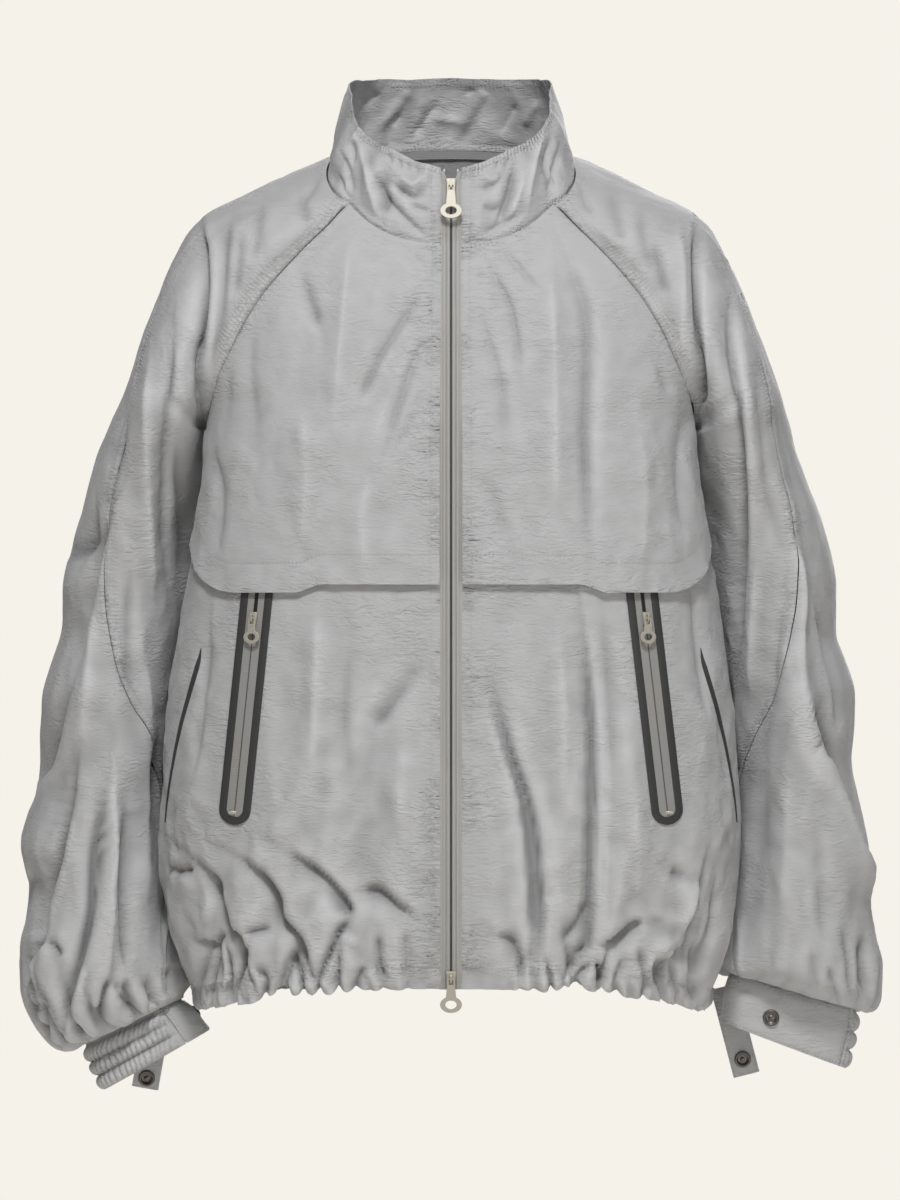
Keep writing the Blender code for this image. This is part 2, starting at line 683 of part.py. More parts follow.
def make_collar(finish):
    half = COLLAR_FRONT_COLUMNS + len(SHOULDER_COLUMNS) - 1 + COLLAR_BACK_COLUMNS

    def place(u, v, lift):
        side = -1 if u < 0.5 else 1
        step = half * (1 - abs(2 * u - 1))
        base = collar_base(step)
        start = math.asin((ZIP_HALF_WIDTH / COLLAR_TOP_HALF_WIDTH) ** (COLLAR_POWER / 2))
        plan = Vector((base.x, base.y, 0.0))
        angle = max(start, math.atan2(base.x, -base.y))
        if step == half:
            angle = math.pi
        top = collar_top(angle)
        if step == 0:
            top.x = ZIP_HALF_WIDTH
        lift += COLLAR_BULGE * math.sin(math.pi * v)
        point = between(top, base, v) + plan.normalized() * lift
        point.x *= side
        if step == half:
            point.x = 0.0
        return point

    return panel("collar", 2 * half, 4, place, finish)


def make_neck_tape(finish):
    """A narrow tape over the neck seam, inside the back of the neck."""

    def place(u, v, lift):
        angle, z = neck_seam_back(between(*NECK_TAPE_ENDS, u))
        return body(angle, z - NECK_TAPE_DROP - NECK_TAPE_WIDTH * v, lift - WALL - LIFT)

    return panel("neck_tape", 12, 1, place, finish, wall=TAPE_THICKNESS)


def cuff_point(cuff, side, degrees, v, lift=0.0):
    """A point of a cuff, this far outside it. Angles run from its outer end, over its front."""
    outer_x, outer_z = between(Vector(cuff.outer_top), Vector(cuff.outer_bottom), v)
    inner_x, inner_z = between(Vector(cuff.inner_top), Vector(cuff.inner_bottom), v)
    sine, cosine = math.sin(math.radians(degrees)), math.cos(math.radians(degrees))
    across = math.copysign(abs(cosine) ** CUFF_POWER, cosine)
    deep = math.copysign(abs(sine) ** CUFF_POWER, sine)
    wider = 1 + 2 * lift / math.hypot(outer_x - inner_x, outer_z - inner_z)
    x = between(inner_x, outer_x, 0.5 + across / 2 * wider)
    z = between(inner_z, outer_z, 0.5 + across / 2 * wider)
    return Vector((x * side, CUFF_MIDDLE_Y - (CUFF_HALF_DEPTH + lift) * deep, z))


def make_cuff(side, word, finish):
    """A cuff in two parts: shirred elastic with three channels, and a plain band."""
    cuff = RIGHT_CUFF if side < 0 else LEFT_CUFF
    ribs = 20

    def elastic(u, v, lift):
        if round(u * ribs) % 2:
            lift += CUFF_RIB
        return cuff_point(cuff, side, between(cuff.elastic_from, cuff.elastic_to, u), v, lift)

    def plain(u, v, lift):
        degrees = between(cuff.elastic_to, cuff.elastic_from + 360, u)
        return cuff_point(cuff, side, degrees, v, lift)

    for name, columns, rows, place in (("elastic", ribs, 3, elastic), ("band", 14, 2, plain)):
        panel("cuff_" + name + "_" + word, columns, rows, place, finish)


def front_line(z):
    """How far forward the front edge lies beside the zip, on the body and up the collar."""
    if z < NECK_FRONT_Z:
        return body(beside_zip(z).x, z).y
    share = (z - NECK_FRONT_Z) / (COLLAR_TOP[0][1] - NECK_FRONT_Z)
    base = body(beside_zip(NECK_FRONT_Z).x, NECK_FRONT_Z).y
    return between(base, -COLLAR_TOP_FRONT, share) - COLLAR_BULGE * math.sin(math.pi * share)


def make_zip_tape(side, word, finish):
    """One half of the main zip's tape, between the zip's centre line and a front edge."""

    def place(u, v, lift):
        z = between(ZIP_TOP_Z, ZIP_BOTTOM_Z, v)
        return Vector((side * between(0.0, ZIP_HALF_WIDTH, u), front_line(z) + SEAM_GAP - lift, z))

    return panel("zip_tape_" + word, 1, 32, place, finish, wall=TAPE_THICKNESS)


class Surface:
    """The outer side of a finished piece, for placing things on it by their x and z."""

    def __init__(self, made):
        bm = bmesh.new()
        bm.from_mesh(made.data)
        self.tree = BVHTree.FromBMesh(bm)
        bm.free()

    def at(self, x, z, lift):
        """A point this far in front of the piece, and the way that the piece faces there."""
        point, normal, _, _ = self.tree.ray_cast(Vector((x, -1.0, z)), Vector((0.0, 1.0, 0.0)))
        return point + normal * lift, normal


def pocket_frame(side):
    """The pocket's centre line at its two ends, and the unit vectors along and across it."""
    top = Vector((POCKET_TOP[side][0] * side, POCKET_TOP[side][1]))
    bottom = Vector((POCKET_BOTTOM[0] * side, POCKET_BOTTOM[1]))
    down = (bottom - top).normalized()
    return top, bottom, down, Vector((-down.y, down.x))


def make_pocket(side, word, surface, tape_finish, zip_finish):
    """A bonded U-shaped tape on the front panel, round the strip of the pocket's zip."""
    top, bottom, down, across = pocket_frame(side)
    straight, turn = 10, 10

    def tape(u, v, lift):
        radius = between(POCKET_RADIUS - POCKET_BAND, POCKET_RADIUS, u)
        step = v * (2 * straight + turn)
        if step <= straight:
            at = between(top, bottom, step / straight) - across * radius
        elif step <= straight + turn:
            angle = (step - straight) / turn * math.pi
            at = bottom - across * radius * math.cos(angle) + down * radius * math.sin(angle)
        else:
            at = between(bottom, top, (step - straight - turn) / straight) + across * radius
        return surface.at(at.x, at.y, lift + LIFT + TAPE_THICKNESS)[0]

    def strip(u, v, lift):
        half = POCKET_RADIUS - POCKET_BAND
        middle = between(top, bottom + down * half * POCKET_STRIP_OVERRUN, v)
        into_end = max(v - 1 + POCKET_STRIP_ROUND, 0) / POCKET_STRIP_ROUND
        half *= POCKET_STRIP_WIDTH * math.sqrt(1 - into_end * POCKET_STRIP_CUT)
        at = middle + across * between(-half, half, u)
        return surface.at(at.x, at.y, lift + LIFT + TAPE_THICKNESS)[0]

    rows = 2 * straight + turn
    panel("pocket_tape_" + word, 1, rows, tape, tape_finish, wall=TAPE_THICKNESS)
    panel("pocket_zip_" + word, 2, 16, strip, zip_finish, wall=TAPE_THICKNESS)


def make_side_tape(side, word, finish):
    knots = column(SIDE_TAPE, "z")

    def place(u, v, lift):
        z = between(knots[0], knots[-1], v)
        degrees = along(knots, column(SIDE_TAPE, "degrees"), z)
        width = along(knots, column(SIDE_TAPE, "width"), z)
        angle = math.radians(degrees) + (u - 0.5) * width / body_size("half_width", z)
        return body(angle * side, z, lift + LIFT + TAPE_THICKNESS)

    return panel("side_tape_" + word, 1, 14, place, finish, wall=TAPE_THICKNESS)


def plate(name, outlines, thickness, finish):
    """A flat plate from closed outlines in X and Z, as a filled curve that faces -Y."""
    curve = bpy.data.curves.new(name, "CURVE")
    curve.dimensions = "2D"
    curve.fill_mode = "BOTH"
    curve.extrude = thickness / 2
    for outline in outlines:
        spline = curve.splines.new("POLY")
        spline.points.add(len(outline) - 1)
        for point, (x, z) in zip(spline.points, outline):
            point.co = (x, z, 0.0, 1.0)
        spline.use_cyclic_u = True
    return add_object(name, curve, finish)


def circle(radius, centre_z, sides, start=0.0, turn=2 * math.pi):
    """Points on part of a circle, the end left out where the circle is whole."""
    last = sides if turn >= 2 * math.pi else sides - 1
    return [
        (radius * math.cos(start + turn * k / last), centre_z + radius * math.sin(start + turn * k / last))
        for k in range(sides)
    ]


def make_slider(name, seat, facing, scale, finish):
    """A zip slider on its seat: a bevelled body and a bridge for the pull. Its origin is its hinge."""
    bpy.ops.mesh.primitive_cube_add(size=1.0)
    made = bpy.context.object
    made.name = made.data.name = name
    front = BRIDGE_HOLE / 2
    size = Vector((2 * SLIDER_HALF_WIDTH, SLIDER_DEPTH, 2 * SLIDER_HALF_HEIGHT))
    for vert in made.data.vertices:
        vert.co = Vector(vert.co) * size + Vector((0.0, front + SLIDER_DEPTH / 2, 0.0))
        if vert.co.z < 0:
            vert.co.x *= SLIDER_NARROWING
        vert.co *= scale
    bevel = made.modifiers.new("rounded edges", "BEVEL")
    bevel.width = SLIDER_ROUNDING * scale
    bevel.segments = 2
    made.data.materials.append(finish)
    for collection in made.users_collection:
        collection.objects.unlink(made)
    bpy.data.collections[OBJECT_NAME].objects.link(made)

    outside = BRIDGE_HOLE / 2 + BRIDGE_WALL
    sunk = front + SLIDER_DEPTH / 2
    arch = [
        (sunk, BRIDGE_TOP), (-outside + BRIDGE_CHAMFER, BRIDGE_TOP),
        (-outside, BRIDGE_TOP - BRIDGE_CHAMFER), (-outside, BRIDGE_BOTTOM + BRIDGE_CHAMFER),
        (-outside + BRIDGE_CHAMFER, BRIDGE_BOTTOM), (sunk, BRIDGE_BOTTOM),
        (sunk, BRIDGE_BOTTOM + BRIDGE_WALL), (-BRIDGE_HOLE / 2, BRIDGE_BOTTOM + BRIDGE_WALL),
        (-BRIDGE_HOLE / 2, BRIDGE_TOP - BRIDGE_WALL), (sunk, BRIDGE_TOP - BRIDGE_WALL),
    ]
    bm = bmesh.new()
    ring = [bm.verts.new((-BRIDGE_HALF_WIDTH * scale, y * scale, z * scale)) for y, z in arch]
    face = bm.faces.new(ring)
    extruded = bmesh.ops.extrude_face_region(bm, geom=[face], use_keep_orig=False)
    moved = [item for item in extruded["geom"] if isinstance(item, bmesh.types.BMVert)]
    bmesh.ops.translate(bm, verts=moved, vec=(2 * BRIDGE_HALF_WIDTH * scale, 0.0, 0.0))
    bmesh.ops.recalc_face_normals(bm, faces=bm.faces)
    mesh = bpy.data.meshes.new(name + "_bridge")
    bm.to_mesh(mesh)
    bm.free()
    bridge = bpy.data.objects.new(name + "_bridge", mesh)
    bridge.hide_render = True
    bridge.display_type = "WIRE"
    bpy.data.collections["cutters"].objects.link(bridge)
    bridge.parent = made
    union = made.modifiers.new("bridge", "BOOLEAN")
    union.operation = "UNION"
    union.object = bridge
    made.location = seat + facing * (SEAM_GAP + (SLIDER_DEPTH + front) * scale)
    level = math.hypot(facing.x, facing.y)
    made.rotation_euler = (-math.atan2(facing.z, level), 0.0, math.atan2(facing.x, -facing.y))
    return made


def make_pull(name, slider, length, radius, finish):
    """A pull tab with an eye on the slider's bridge and a ring to grip. Its origin is its hinge."""
    centre = radius - length
    ring = circle(radius, centre, 18, PULL_SHOULDER, 3 * math.pi - 2 * PULL_SHOULDER)
    left = [(-NECK_HALF_WIDTH, BAR_HALF_HEIGHT), (-NECK_HALF_WIDTH, NECK_BOTTOM)]
    right = [(-x, z) for x, z in reversed(left)]
    eye = [
        (EYE_HALF_WIDTH, -BAR_HALF_HEIGHT), (-EYE_HALF_WIDTH, -BAR_HALF_HEIGHT),
        (-EYE_HALF_WIDTH, EYE_BOTTOM), (EYE_HALF_WIDTH, EYE_BOTTOM),
    ]
    hole = circle(radius * PULL_HOLE, centre, 14)
    made = plate(name, (left + ring + right, eye, hole), PULL_THICKNESS, finish)
    made.location = slider.location
    leaning_out = min(slider.rotation_euler.x, 0.0)
    made.rotation_euler = (math.pi / 2 + leaning_out, 0.0, slider.rotation_euler.z)
    return made


def make_snap(name, at, facing, finish):
    """A snap cap, a low turned disc that faces this way."""
    bm = bmesh.new()
    bmesh.ops.create_cone(
        bm, cap_ends=True, segments=20, radius1=SNAP_RADIUS, radius2=SNAP_TOP_RADIUS, depth=SNAP_HEIGHT
    )
    mesh = bpy.data.meshes.new(name)
    bm.to_mesh(mesh)
    bm.free()
    made = add_object(name, mesh, finish)
    made.rotation_mode = "QUATERNION"
    made.rotation_quaternion = facing.to_track_quat("Z", "Y")
    made.location = at + facing.normalized() * (SNAP_HEIGHT / 2 + SEAM_GAP)
    return made


def make_strap(side, word, finish, metal):
    """A cuff strap that hangs open behind the cuff, with its half of the snap near the tip."""
    strap = STRAPS[side]
    top, bottom = Vector(strap.top), Vector(strap.bottom)
    down = (bottom - top).normalized()
    across = Vector((-down.y, down.x)) * STRAP_WIDTH / 2

    def place(u, v, lift):
        at = between(top, bottom, v) + across * (2 * u - 1)
        return Vector((at.x, strap.y - STRAP_BOW * math.sin(v * STRAP_BOW_TURN) - lift, at.y))

    panel("cuff_strap_" + word, 2, 6, place, finish, wall=STRAP_THICKNESS)
    seat = place(0.5, STRAP_SNAP_SHARE, SNAP_LIFT)
    make_snap("strap_snap_" + word, seat, Vector((0.0, -1.0, 0.0)), metal)


def make_cuff_snap(side, word, metal):
    cuff = RIGHT_CUFF if side < 0 else LEFT_CUFF
    degrees, v = CUFF_SNAPS[side]
    at = cuff_point(cuff, side, degrees, v)
    along_cuff = cuff_point(cuff, side, degrees + 5, v) - cuff_point(cuff, side, degrees - 5, v)
    down_cuff = cuff_point(cuff, side, degrees, 1) - cuff_point(cuff, side, degrees, 0)
    facing = along_cuff.cross(down_cuff).normalized() * side
    make_snap("cuff_snap_" + word, at + facing * SNAP_LIFT, facing, metal)


def main():
    for made in list(bpy.data.objects):
        bpy.data.objects.remove(made)
    for name in (OBJECT_NAME, "cutters"):
        bpy.context.scene.collection.children.link(bpy.data.collections.new(name))
    bpy.data.collections["cutters"].hide_render = True

    nylon = material("crinkled_nylon", (0.42, 0.42, 0.415), 0.55)
    zip_tape = material("zip_tape", (0.33, 0.32, 0.30), 0.7)
    bonded_tape = material("bonded_tape", (0.055, 0.055, 0.055), 0.6)
    metal = material("nickel", (0.62, 0.59, 0.54), 0.35, 1.0)
    gunmetal = material("gunmetal", (0.15, 0.14, 0.13), 0.4, 1.0)

    make_collar(nylon)
    make_neck_tape(zip_tape)
    make_back(nylon)
    make_hem("hem_back", 40, math.pi / 2, math.pi * 1.5, nylon)
    for side, word in ((-1, "right"), (1, "left")):
        make_yoke(side, word, nylon)
        front = make_front(side, word, nylon)
        start = beside_zip(HEM_CENTRE_Z).x
        make_hem("hem_front_" + word, 24, side * start, side * math.pi / 2, nylon)
        make_sleeve(side, word, nylon)
        make_cuff(side, word, nylon)
        make_strap(side, word, nylon, gunmetal)
        make_cuff_snap(side, word, gunmetal)
        make_zip_tape(side, word, zip_tape)
        make_side_tape(side, word, bonded_tape)
        surface = Surface(front)
        make_pocket(side, word, surface, bonded_tape, zip_tape)
        top, bottom, _, _ = pocket_frame(side)
        seat = between(top, bottom, (POCKET_SLIDER_Z - top.y) / (bottom.y - top.y))
        base, facing = surface.at(seat.x, seat.y, LIFT + TAPE_THICKNESS)
        slider = make_slider("pocket_slider_" + word, base, facing, POCKET_SLIDER_SCALE, metal)
        make_pull("pocket_pull_" + word, slider, POCKET_PULL_LENGTH, POCKET_PULL_RADIUS, metal)

    sliders = (("top", TOP_SLIDER_Z, TOP_PULL_LENGTH), ("bottom", BOTTOM_SLIDER_Z, BOTTOM_PULL_LENGTH))
    for name, z, length in sliders:
        seat = Vector((0.0, front_line(z), z))
        half = 2 * SLIDER_HALF_HEIGHT
        run = Vector((0.0, front_line(z + half) - front_line(z - half), 2 * half))
        facing = Vector((0.0, -run.z, run.y)).normalized()
        slider = make_slider("slider_" + name, seat, facing, 1.0, metal)
        make_pull("pull_" + name, slider, length, PULL_RADIUS, metal)


main()
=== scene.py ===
"""Windbreaker jacket of crinkled nylon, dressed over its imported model.

Metres, +Z up. The front faces -Y, and the wearer's right side is at -X. The origin lies between
the shoulders, level with the sides of the neck seam.
"""

import math
import random
from collections import namedtuple

import bmesh
import bpy
import numpy as np
from mathutils import Matrix, Vector, noise
from mathutils.bvhtree import BVHTree
from mathutils.kdtree import KDTree


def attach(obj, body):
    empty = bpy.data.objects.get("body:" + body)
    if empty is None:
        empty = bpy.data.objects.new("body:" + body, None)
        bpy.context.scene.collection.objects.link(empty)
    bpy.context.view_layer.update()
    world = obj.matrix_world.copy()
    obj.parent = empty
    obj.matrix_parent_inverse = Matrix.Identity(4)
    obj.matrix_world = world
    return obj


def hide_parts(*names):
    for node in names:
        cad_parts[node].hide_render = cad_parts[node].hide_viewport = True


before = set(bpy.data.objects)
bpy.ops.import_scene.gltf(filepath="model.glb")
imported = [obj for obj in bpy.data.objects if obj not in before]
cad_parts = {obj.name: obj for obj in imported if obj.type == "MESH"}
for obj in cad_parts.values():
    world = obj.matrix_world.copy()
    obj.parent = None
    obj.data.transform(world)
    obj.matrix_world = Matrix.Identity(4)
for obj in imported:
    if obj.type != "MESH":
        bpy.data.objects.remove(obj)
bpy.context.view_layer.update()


# Room: a pale floor well below the jacket, pale walls of light all round, two large soft lamps in
# front and above, and a long lens straight in front, level with the middle of the jacket.

FLOOR_Z = -1.25
FLOOR_SIZE = 7.0
WALL_PALE = "#f5f2ea"
ROOM_LIGHT = 0.18  # strength of the light that the walls give the jacket


def linear(colour):
    """Linear red, green, blue and alpha of an sRGB hex colour."""
    parts = [int(colour[k:k + 2], 16) / 255 for k in (1, 3, 5)]
    return (*[c / 12.92 if c <= 0.04045 else ((c + 0.055) / 1.055) ** 2.4 for c in parts], 1.0)


def add(tree, kind, sockets, **settings):
    """Adds one node, with its settings, and a value or a link for each socket named."""
    made = tree.nodes.new(kind)
    for name, value in settings.items():
        setattr(made, name, value)
    for socket, value in sockets.items():
        if isinstance(value, bpy.types.NodeSocket):
            tree.links.new(value, made.inputs[socket])
        else:
            made.inputs[socket].default_value = value
    return made


def finish_named(name, colour, roughness, metallic=0.0):
    """A new material, its node tree and its Principled shader."""
    made = bpy.data.materials.new(name)
    made.use_nodes = True
    shader = made.node_tree.nodes["Principled BSDF"]
    shader.inputs["Base Color"].default_value = linear(colour)
    shader.inputs["Roughness"].default_value = roughness
    shader.inputs["Metallic"].default_value = metallic
    return made, made.node_tree, shader


scene = bpy.context.scene
scene.view_settings.view_transform = "Standard"
floor_mesh = bpy.data.meshes.new("floor")
bm = bmesh.new()
bmesh.ops.create_grid(bm, x_segments=1, y_segments=1, size=FLOOR_SIZE / 2)
bmesh.ops.translate(bm, verts=bm.verts, vec=(0.0, 0.0, FLOOR_Z))
bm.to_mesh(floor_mesh)
bm.free()
floor = bpy.data.objects.new("floor", floor_mesh)
scene.collection.objects.link(floor)
paint, _, _ = finish_named("matt pale floor paint", WALL_PALE, 0.9)
floor_mesh.materials.append(paint)

world = bpy.data.worlds.new("pale room")
world.use_nodes = True
room = world.node_tree
room.nodes.clear()
seen = add(room, "ShaderNodeBackground", {"Color": linear(WALL_PALE), "Strength": 1.0})
lit = add(room, "ShaderNodeBackground", {"Color": linear("#f6f6f8"), "Strength": ROOM_LIGHT})
to_lens = add(room, "ShaderNodeLightPath", {})
chosen = add(room, "ShaderNodeMixShader", {
    0: to_lens.outputs["Is Camera Ray"], 1: lit.outputs[0], 2: seen.outputs[0],
})
add(room, "ShaderNodeOutputWorld", {"Surface": chosen.outputs[0]})
scene.world = world

Lamp = namedtuple("Lamp", "name at aim size watts")
LAMPS = (
    Lamp("key softbox", (-0.15, -2.4, 2.5), (0.0, 0.0, -0.35), 0.7, 96),
    Lamp("low fill softbox", (1.4, -3.2, -0.7), (0.0, 0.0, -0.5), 1.6, 21),
    Lamp("back softbox", (0.5, 3.4, 0.5), (0.0, 0.0, -0.4), 2.0, 80),
)
for lamp in LAMPS:
    light = bpy.data.lights.new(lamp.name, "AREA")
    light.size = lamp.size
    light.energy = lamp.watts
    held = bpy.data.objects.new(lamp.name, light)
    held.location = lamp.at
    held.rotation_euler = (Vector(lamp.aim) - Vector(lamp.at)).to_track_quat("-Z", "Y").to_euler()
    scene.collection.objects.link(held)

CAMERA_DISTANCE = 7.0
CAMERA_X = -0.00082
CAMERA_Z = -0.351
FRAME_HEIGHT = 0.984  # of the picture where the jacket hangs
lens = bpy.data.cameras.new("camera")
lens.sensor_fit = "VERTICAL"
lens.sensor_height = 24.0
lens.lens = lens.sensor_height * CAMERA_DISTANCE / FRAME_HEIGHT
camera = bpy.data.objects.new("camera", lens)
camera.location = (CAMERA_X, -CAMERA_DISTANCE, CAMERA_Z)
camera.rotation_euler = (math.pi / 2, 0.0, 0.0)
scene.collection.objects.link(camera)
scene.camera = camera


# Nylon: light plain-woven nylon, washed so that it keeps a fine crinkle of short level creases.
# It has a soft sheen where it turns away, and puckers where a seam holds it. Its grey has painted
# light on ridges and painted shade in hollows.

NYLON_GREY = "#b2b2b3"
RIDGE_PAINTED_LIGHT_GREY = "#c3c3c4"  # painted light: the grey of a ridge
HOLLOW_PAINTED_SHADE_GREY = "#8c8c8d"  # painted shade: the grey of a hollow
CREASE_ACROSS = 0.0075  # metres along a crease
CREASE_DOWN = 0.0024
CRINKLE_DEPTH = 0.0030
PUCKER_PITCH = 0.0034
PUCKER_DEPTH = 0.00026
PUCKER_WANDER = 9.0  # radians by which the creases push a pucker about
WEAVE_PITCH = 0.0011  # coarser than the real 0.2 mm, so that it shows
WEAVE_DEPTH = 0.00003


def attribute(tree, name):
    """The values of one of the mesh's attributes, as a socket."""
    return add(tree, "ShaderNodeAttribute", {}, attribute_name=name).outputs["Fac"]


def maths(tree, operation, *values):
    """One step of arithmetic on sockets and numbers, as a socket."""
    return add(tree, "ShaderNodeMath", dict(enumerate(values)), operation=operation).outputs[0]


def mixed(tree, share, first, second):
    """A colour this share of the way from the first to the second, as a socket."""
    colours = {"Factor": share, 6: linear(first), 7: linear(second)}
    return add(tree, "ShaderNodeMix", colours, data_type="RGBA").outputs[2]


def crinkled_nylon(name):
    """Woven nylon with its crinkle, patches where it lies smoother, puckers at seams, weave, and painted
    light and shade.
    """
    made, tree, shader = finish_named(name, NYLON_GREY, 0.6)
    shader.inputs["Sheen Weight"].default_value = 0.12
    shader.inputs["Sheen Roughness"].default_value = 0.4
    shader.inputs["Specular IOR Level"].default_value = 0.26
    # Painted light and shade: the grey runs from lighter on ridges to darker in hollows, by the shade
    # attribute.
    shade = mixed(tree, attribute(tree, "shade"), RIDGE_PAINTED_LIGHT_GREY, HOLLOW_PAINTED_SHADE_GREY)
    tree.links.new(shade, shader.inputs["Base Color"])
    place = add(tree, "ShaderNodeTexCoord", {}).outputs["Object"]
    patches = add(tree, "ShaderNodeTexNoise", {"Vector": place, "Scale": 24.0, "Detail": 2.0}).outputs[0]

    def patchy(low, high, least):
        """How strong a relief is in each patch, from least to 1."""
        return add(tree, "ShaderNodeMapRange", {
            "Value": patches, "From Min": low, "From Max": high, "To Min": least, "To Max": 1.0,
        }, interpolation_type="SMOOTHSTEP").outputs[0]

    level = add(tree, "ShaderNodeMapping", {
        "Vector": place, "Scale": (1 / CREASE_ACROSS, 1 / CREASE_ACROSS, 1 / CREASE_DOWN),
    })
    creases = add(tree, "ShaderNodeTexNoise", {
        "Vector": level.outputs[0], "Scale": 0.62, "Detail": 2.5, "Roughness": 0.5, "Distortion": 1.5,
    }).outputs[0]
    depth = maths(tree, "MULTIPLY", patchy(0.42, 0.62, 0.35), attribute(tree, "crinkle"))
    bumps = [(maths(tree, "MULTIPLY", creases, depth), CRINKLE_DEPTH)]
    for close, run in (("near_u", "run_v"), ("near_v", "run_u")):
        turns = maths(tree, "MULTIPLY", attribute(tree, run), 2 * math.pi / PUCKER_PITCH)
        wave = maths(tree, "SINE", maths(tree, "MULTIPLY_ADD", creases, PUCKER_WANDER, turns))
        pucker = maths(tree, "MULTIPLY", wave, attribute(tree, close))
        bumps.append((maths(tree, "MULTIPLY", pucker, patchy(0.38, 0.60, 0.25)), PUCKER_DEPTH))
    fine = add(tree, "ShaderNodeMapping", {"Vector": place, "Scale": (1 / WEAVE_PITCH,) * 3}).outputs[0]
    weave = add(tree, "ShaderNodeTexNoise", {"Vector": fine, "Scale": 1.0, "Detail": 1.0}).outputs[0]
    bumps.append((weave, WEAVE_DEPTH))
    bumped = None
    for height, distance in bumps:
        sockets = {"Height": height, "Distance": distance, "Strength": 1.0}
        if bumped:
            sockets["Normal"] = bumped.outputs[0]
        bumped = add(tree, "ShaderNodeBump", sockets)
    tree.links.new(bumped.outputs[0], shader.inputs["Normal"])
    return made


nylon = crinkled_nylon("crinkled nylon, plain woven")


# Body: the jacket's round form that its front, back, yokes and hem are cut for, as levels from the
# neck down, and the folds that its cloth hangs in.

SIDES = ((-1, "right"), (1, "left"))
SHELL = 0.0009
YOKE_HEM_Z = -0.3450


def between(low, high, share):
    """The point or number at this share of the way from low to high."""
    return low + (high - low) * share


def ease(share):
    """0 below 0, 1 above 1, and a smooth step between."""
    share = min(max(share, 0.0), 1.0)
    return share * share * (3 - 2 * share)


def along(knots, values, at):
    """A smooth curve through values at rising or falling knots, read at one place."""
    if knots[0] > knots[-1]:
        knots, values = knots[::-1], values[::-1]
    at = min(max(at, knots[0]), knots[-1])
    last = len(knots) - 2
    i = next((k for k in range(last) if at < knots[k + 1]), last)

    def slope(k):
        a, b = max(k - 1, 0), min(k + 1, len(knots) - 1)
        return (values[b] - values[a]) / (knots[b] - knots[a])

    step = knots[i + 1] - knots[i]
    t = (at - knots[i]) / step
    rise = values[i + 1] - values[i]
    start, end = slope(i) * step, slope(i + 1) * step
    return values[i] + t * (start + t * (3 * rise - 2 * start - end + t * (start + end - 2 * rise)))


def column(rows, name):
    """One named value of each row."""
    return [getattr(row, name) for row in rows]


def metres(kind, *rows):
    """A table of one kind of row, from rows in millimetres."""
    return tuple(kind(*[value / 1000 for value in row]) for row in rows)


Level = namedtuple("Level", "z half_width front back power")
BODY_LEVELS = (
    Level(0.040, 0.112, 0.050, 0.078, 2.1),
    Level(-0.028, 0.150, 0.079, 0.100, 2.2),
    Level(-0.062, 0.184, 0.099, 0.113, 2.35),
    Level(-0.100, 0.205, 0.115, 0.124, 2.6),
    Level(-0.158, 0.206, 0.127, 0.132, 2.9),
    Level(-0.213, 0.2005, 0.134, 0.135, 3.0),
    Level(-0.300, 0.211, 0.140, 0.140, 2.9),
    Level(-0.400, 0.226, 0.145, 0.145, 2.7),
    Level(-0.480, 0.2345, 0.149, 0.149, 2.6),
    Level(-0.565, 0.2370, 0.153, 0.152, 2.6),
    Level(-0.620, 0.2300, 0.151, 0.150, 2.6),
    Level(-0.660, 0.2160, 0.143, 0.141, 2.6),
    Level(-0.690, 0.2020, 0.133, 0.131, 2.6),
)


def body_size(name, z):
    """One measure of the body at this height."""
    return along(column(BODY_LEVELS, "z"), column(BODY_LEVELS, name), z)


def body_angle(x, z):
    """The angle from the front centre line at which the body's outline reaches x."""
    share = min(abs(x) / body_size("half_width", z), 1.0)
    return math.copysign(math.asin(share ** (body_size("power", z) / 2)), x)


def body(angle, z, lift=0.0):
    """A point of the body's outer side. Angle 0 is the front centre line, and 90 degrees is +X."""
    sine, cosine = math.sin(angle), math.cos(angle)
    power = 2 / body_size("power", z)
    depth = body_size("front" if cosine > 0 else "back", z)
    x = math.copysign(abs(sine) ** power, sine) * body_size("half_width", z)
    y = -math.copysign(abs(cosine) ** power, cosine) * depth
    return Vector((x + sine * lift, y - cosine * lift, z))


def spread(count, places):
    """Weights that read a smooth curve through evenly spaced knots, at places counted in knots."""
    places = np.clip(places, 0, count - 1)
    start = np.minimum(places.astype(int), count - 2)
    t = places - start
    shares = (
        (-t + 2 * t**2 - t**3) / 2, (2 - 5 * t**2 + 3 * t**3) / 2,
        (t + 4 * t**2 - 3 * t**3) / 2, (-t**2 + t**3) / 2,
    )
    weights = np.zeros((len(places), count + 2))
    rows = np.arange(len(places))
    for step, share in enumerate(shares):
        weights[rows, start + step] += share
    for beyond, edge, inside in ((0, 1, 2), (count + 1, count, count - 1)):
        weights[:, edge] += 2 * weights[:, beyond]
        weights[:, inside] -= weights[:, beyond]
    return weights[:, 1:-1]


def unit(vectors):
    """The same ways, each one metre long."""
    return vectors / np.maximum(np.linalg.norm(vectors, axis=-1, keepdims=True), 1e-12)


def facing(points, outwards):
    """The way each point of a grid faces, on the side that outwards points to."""
    down, across = np.gradient(points, axis=(0, 1))
    normals = unit(np.cross(across, down))
    middle = normals[len(normals) // 2, normals.shape[1] // 2]
    return normals if middle @ np.array(outwards) > 0 else -normals


def seen(points):
    """Where points lie on an upright plane through the origin, seen from the camera, in mm."""
    eye = np.array(camera.location)
    shares = CAMERA_DISTANCE / (points[..., 1] + CAMERA_DISTANCE)
    return np.stack(
        [((points[..., k] - eye[k]) * shares + eye[k]) * 1000 for k in (0, 2)], axis=-1
    )


Fold = namedtuple("Fold", "left right height line")  # widths, height and places in millimetres


def folds(*rows):
    """Folds from rows of a left width, a right width, a height, and x and z of each place by turns."""
    return tuple(Fold(*row[:3], tuple(zip(row[3::2], row[4::2]))) for row in rows)


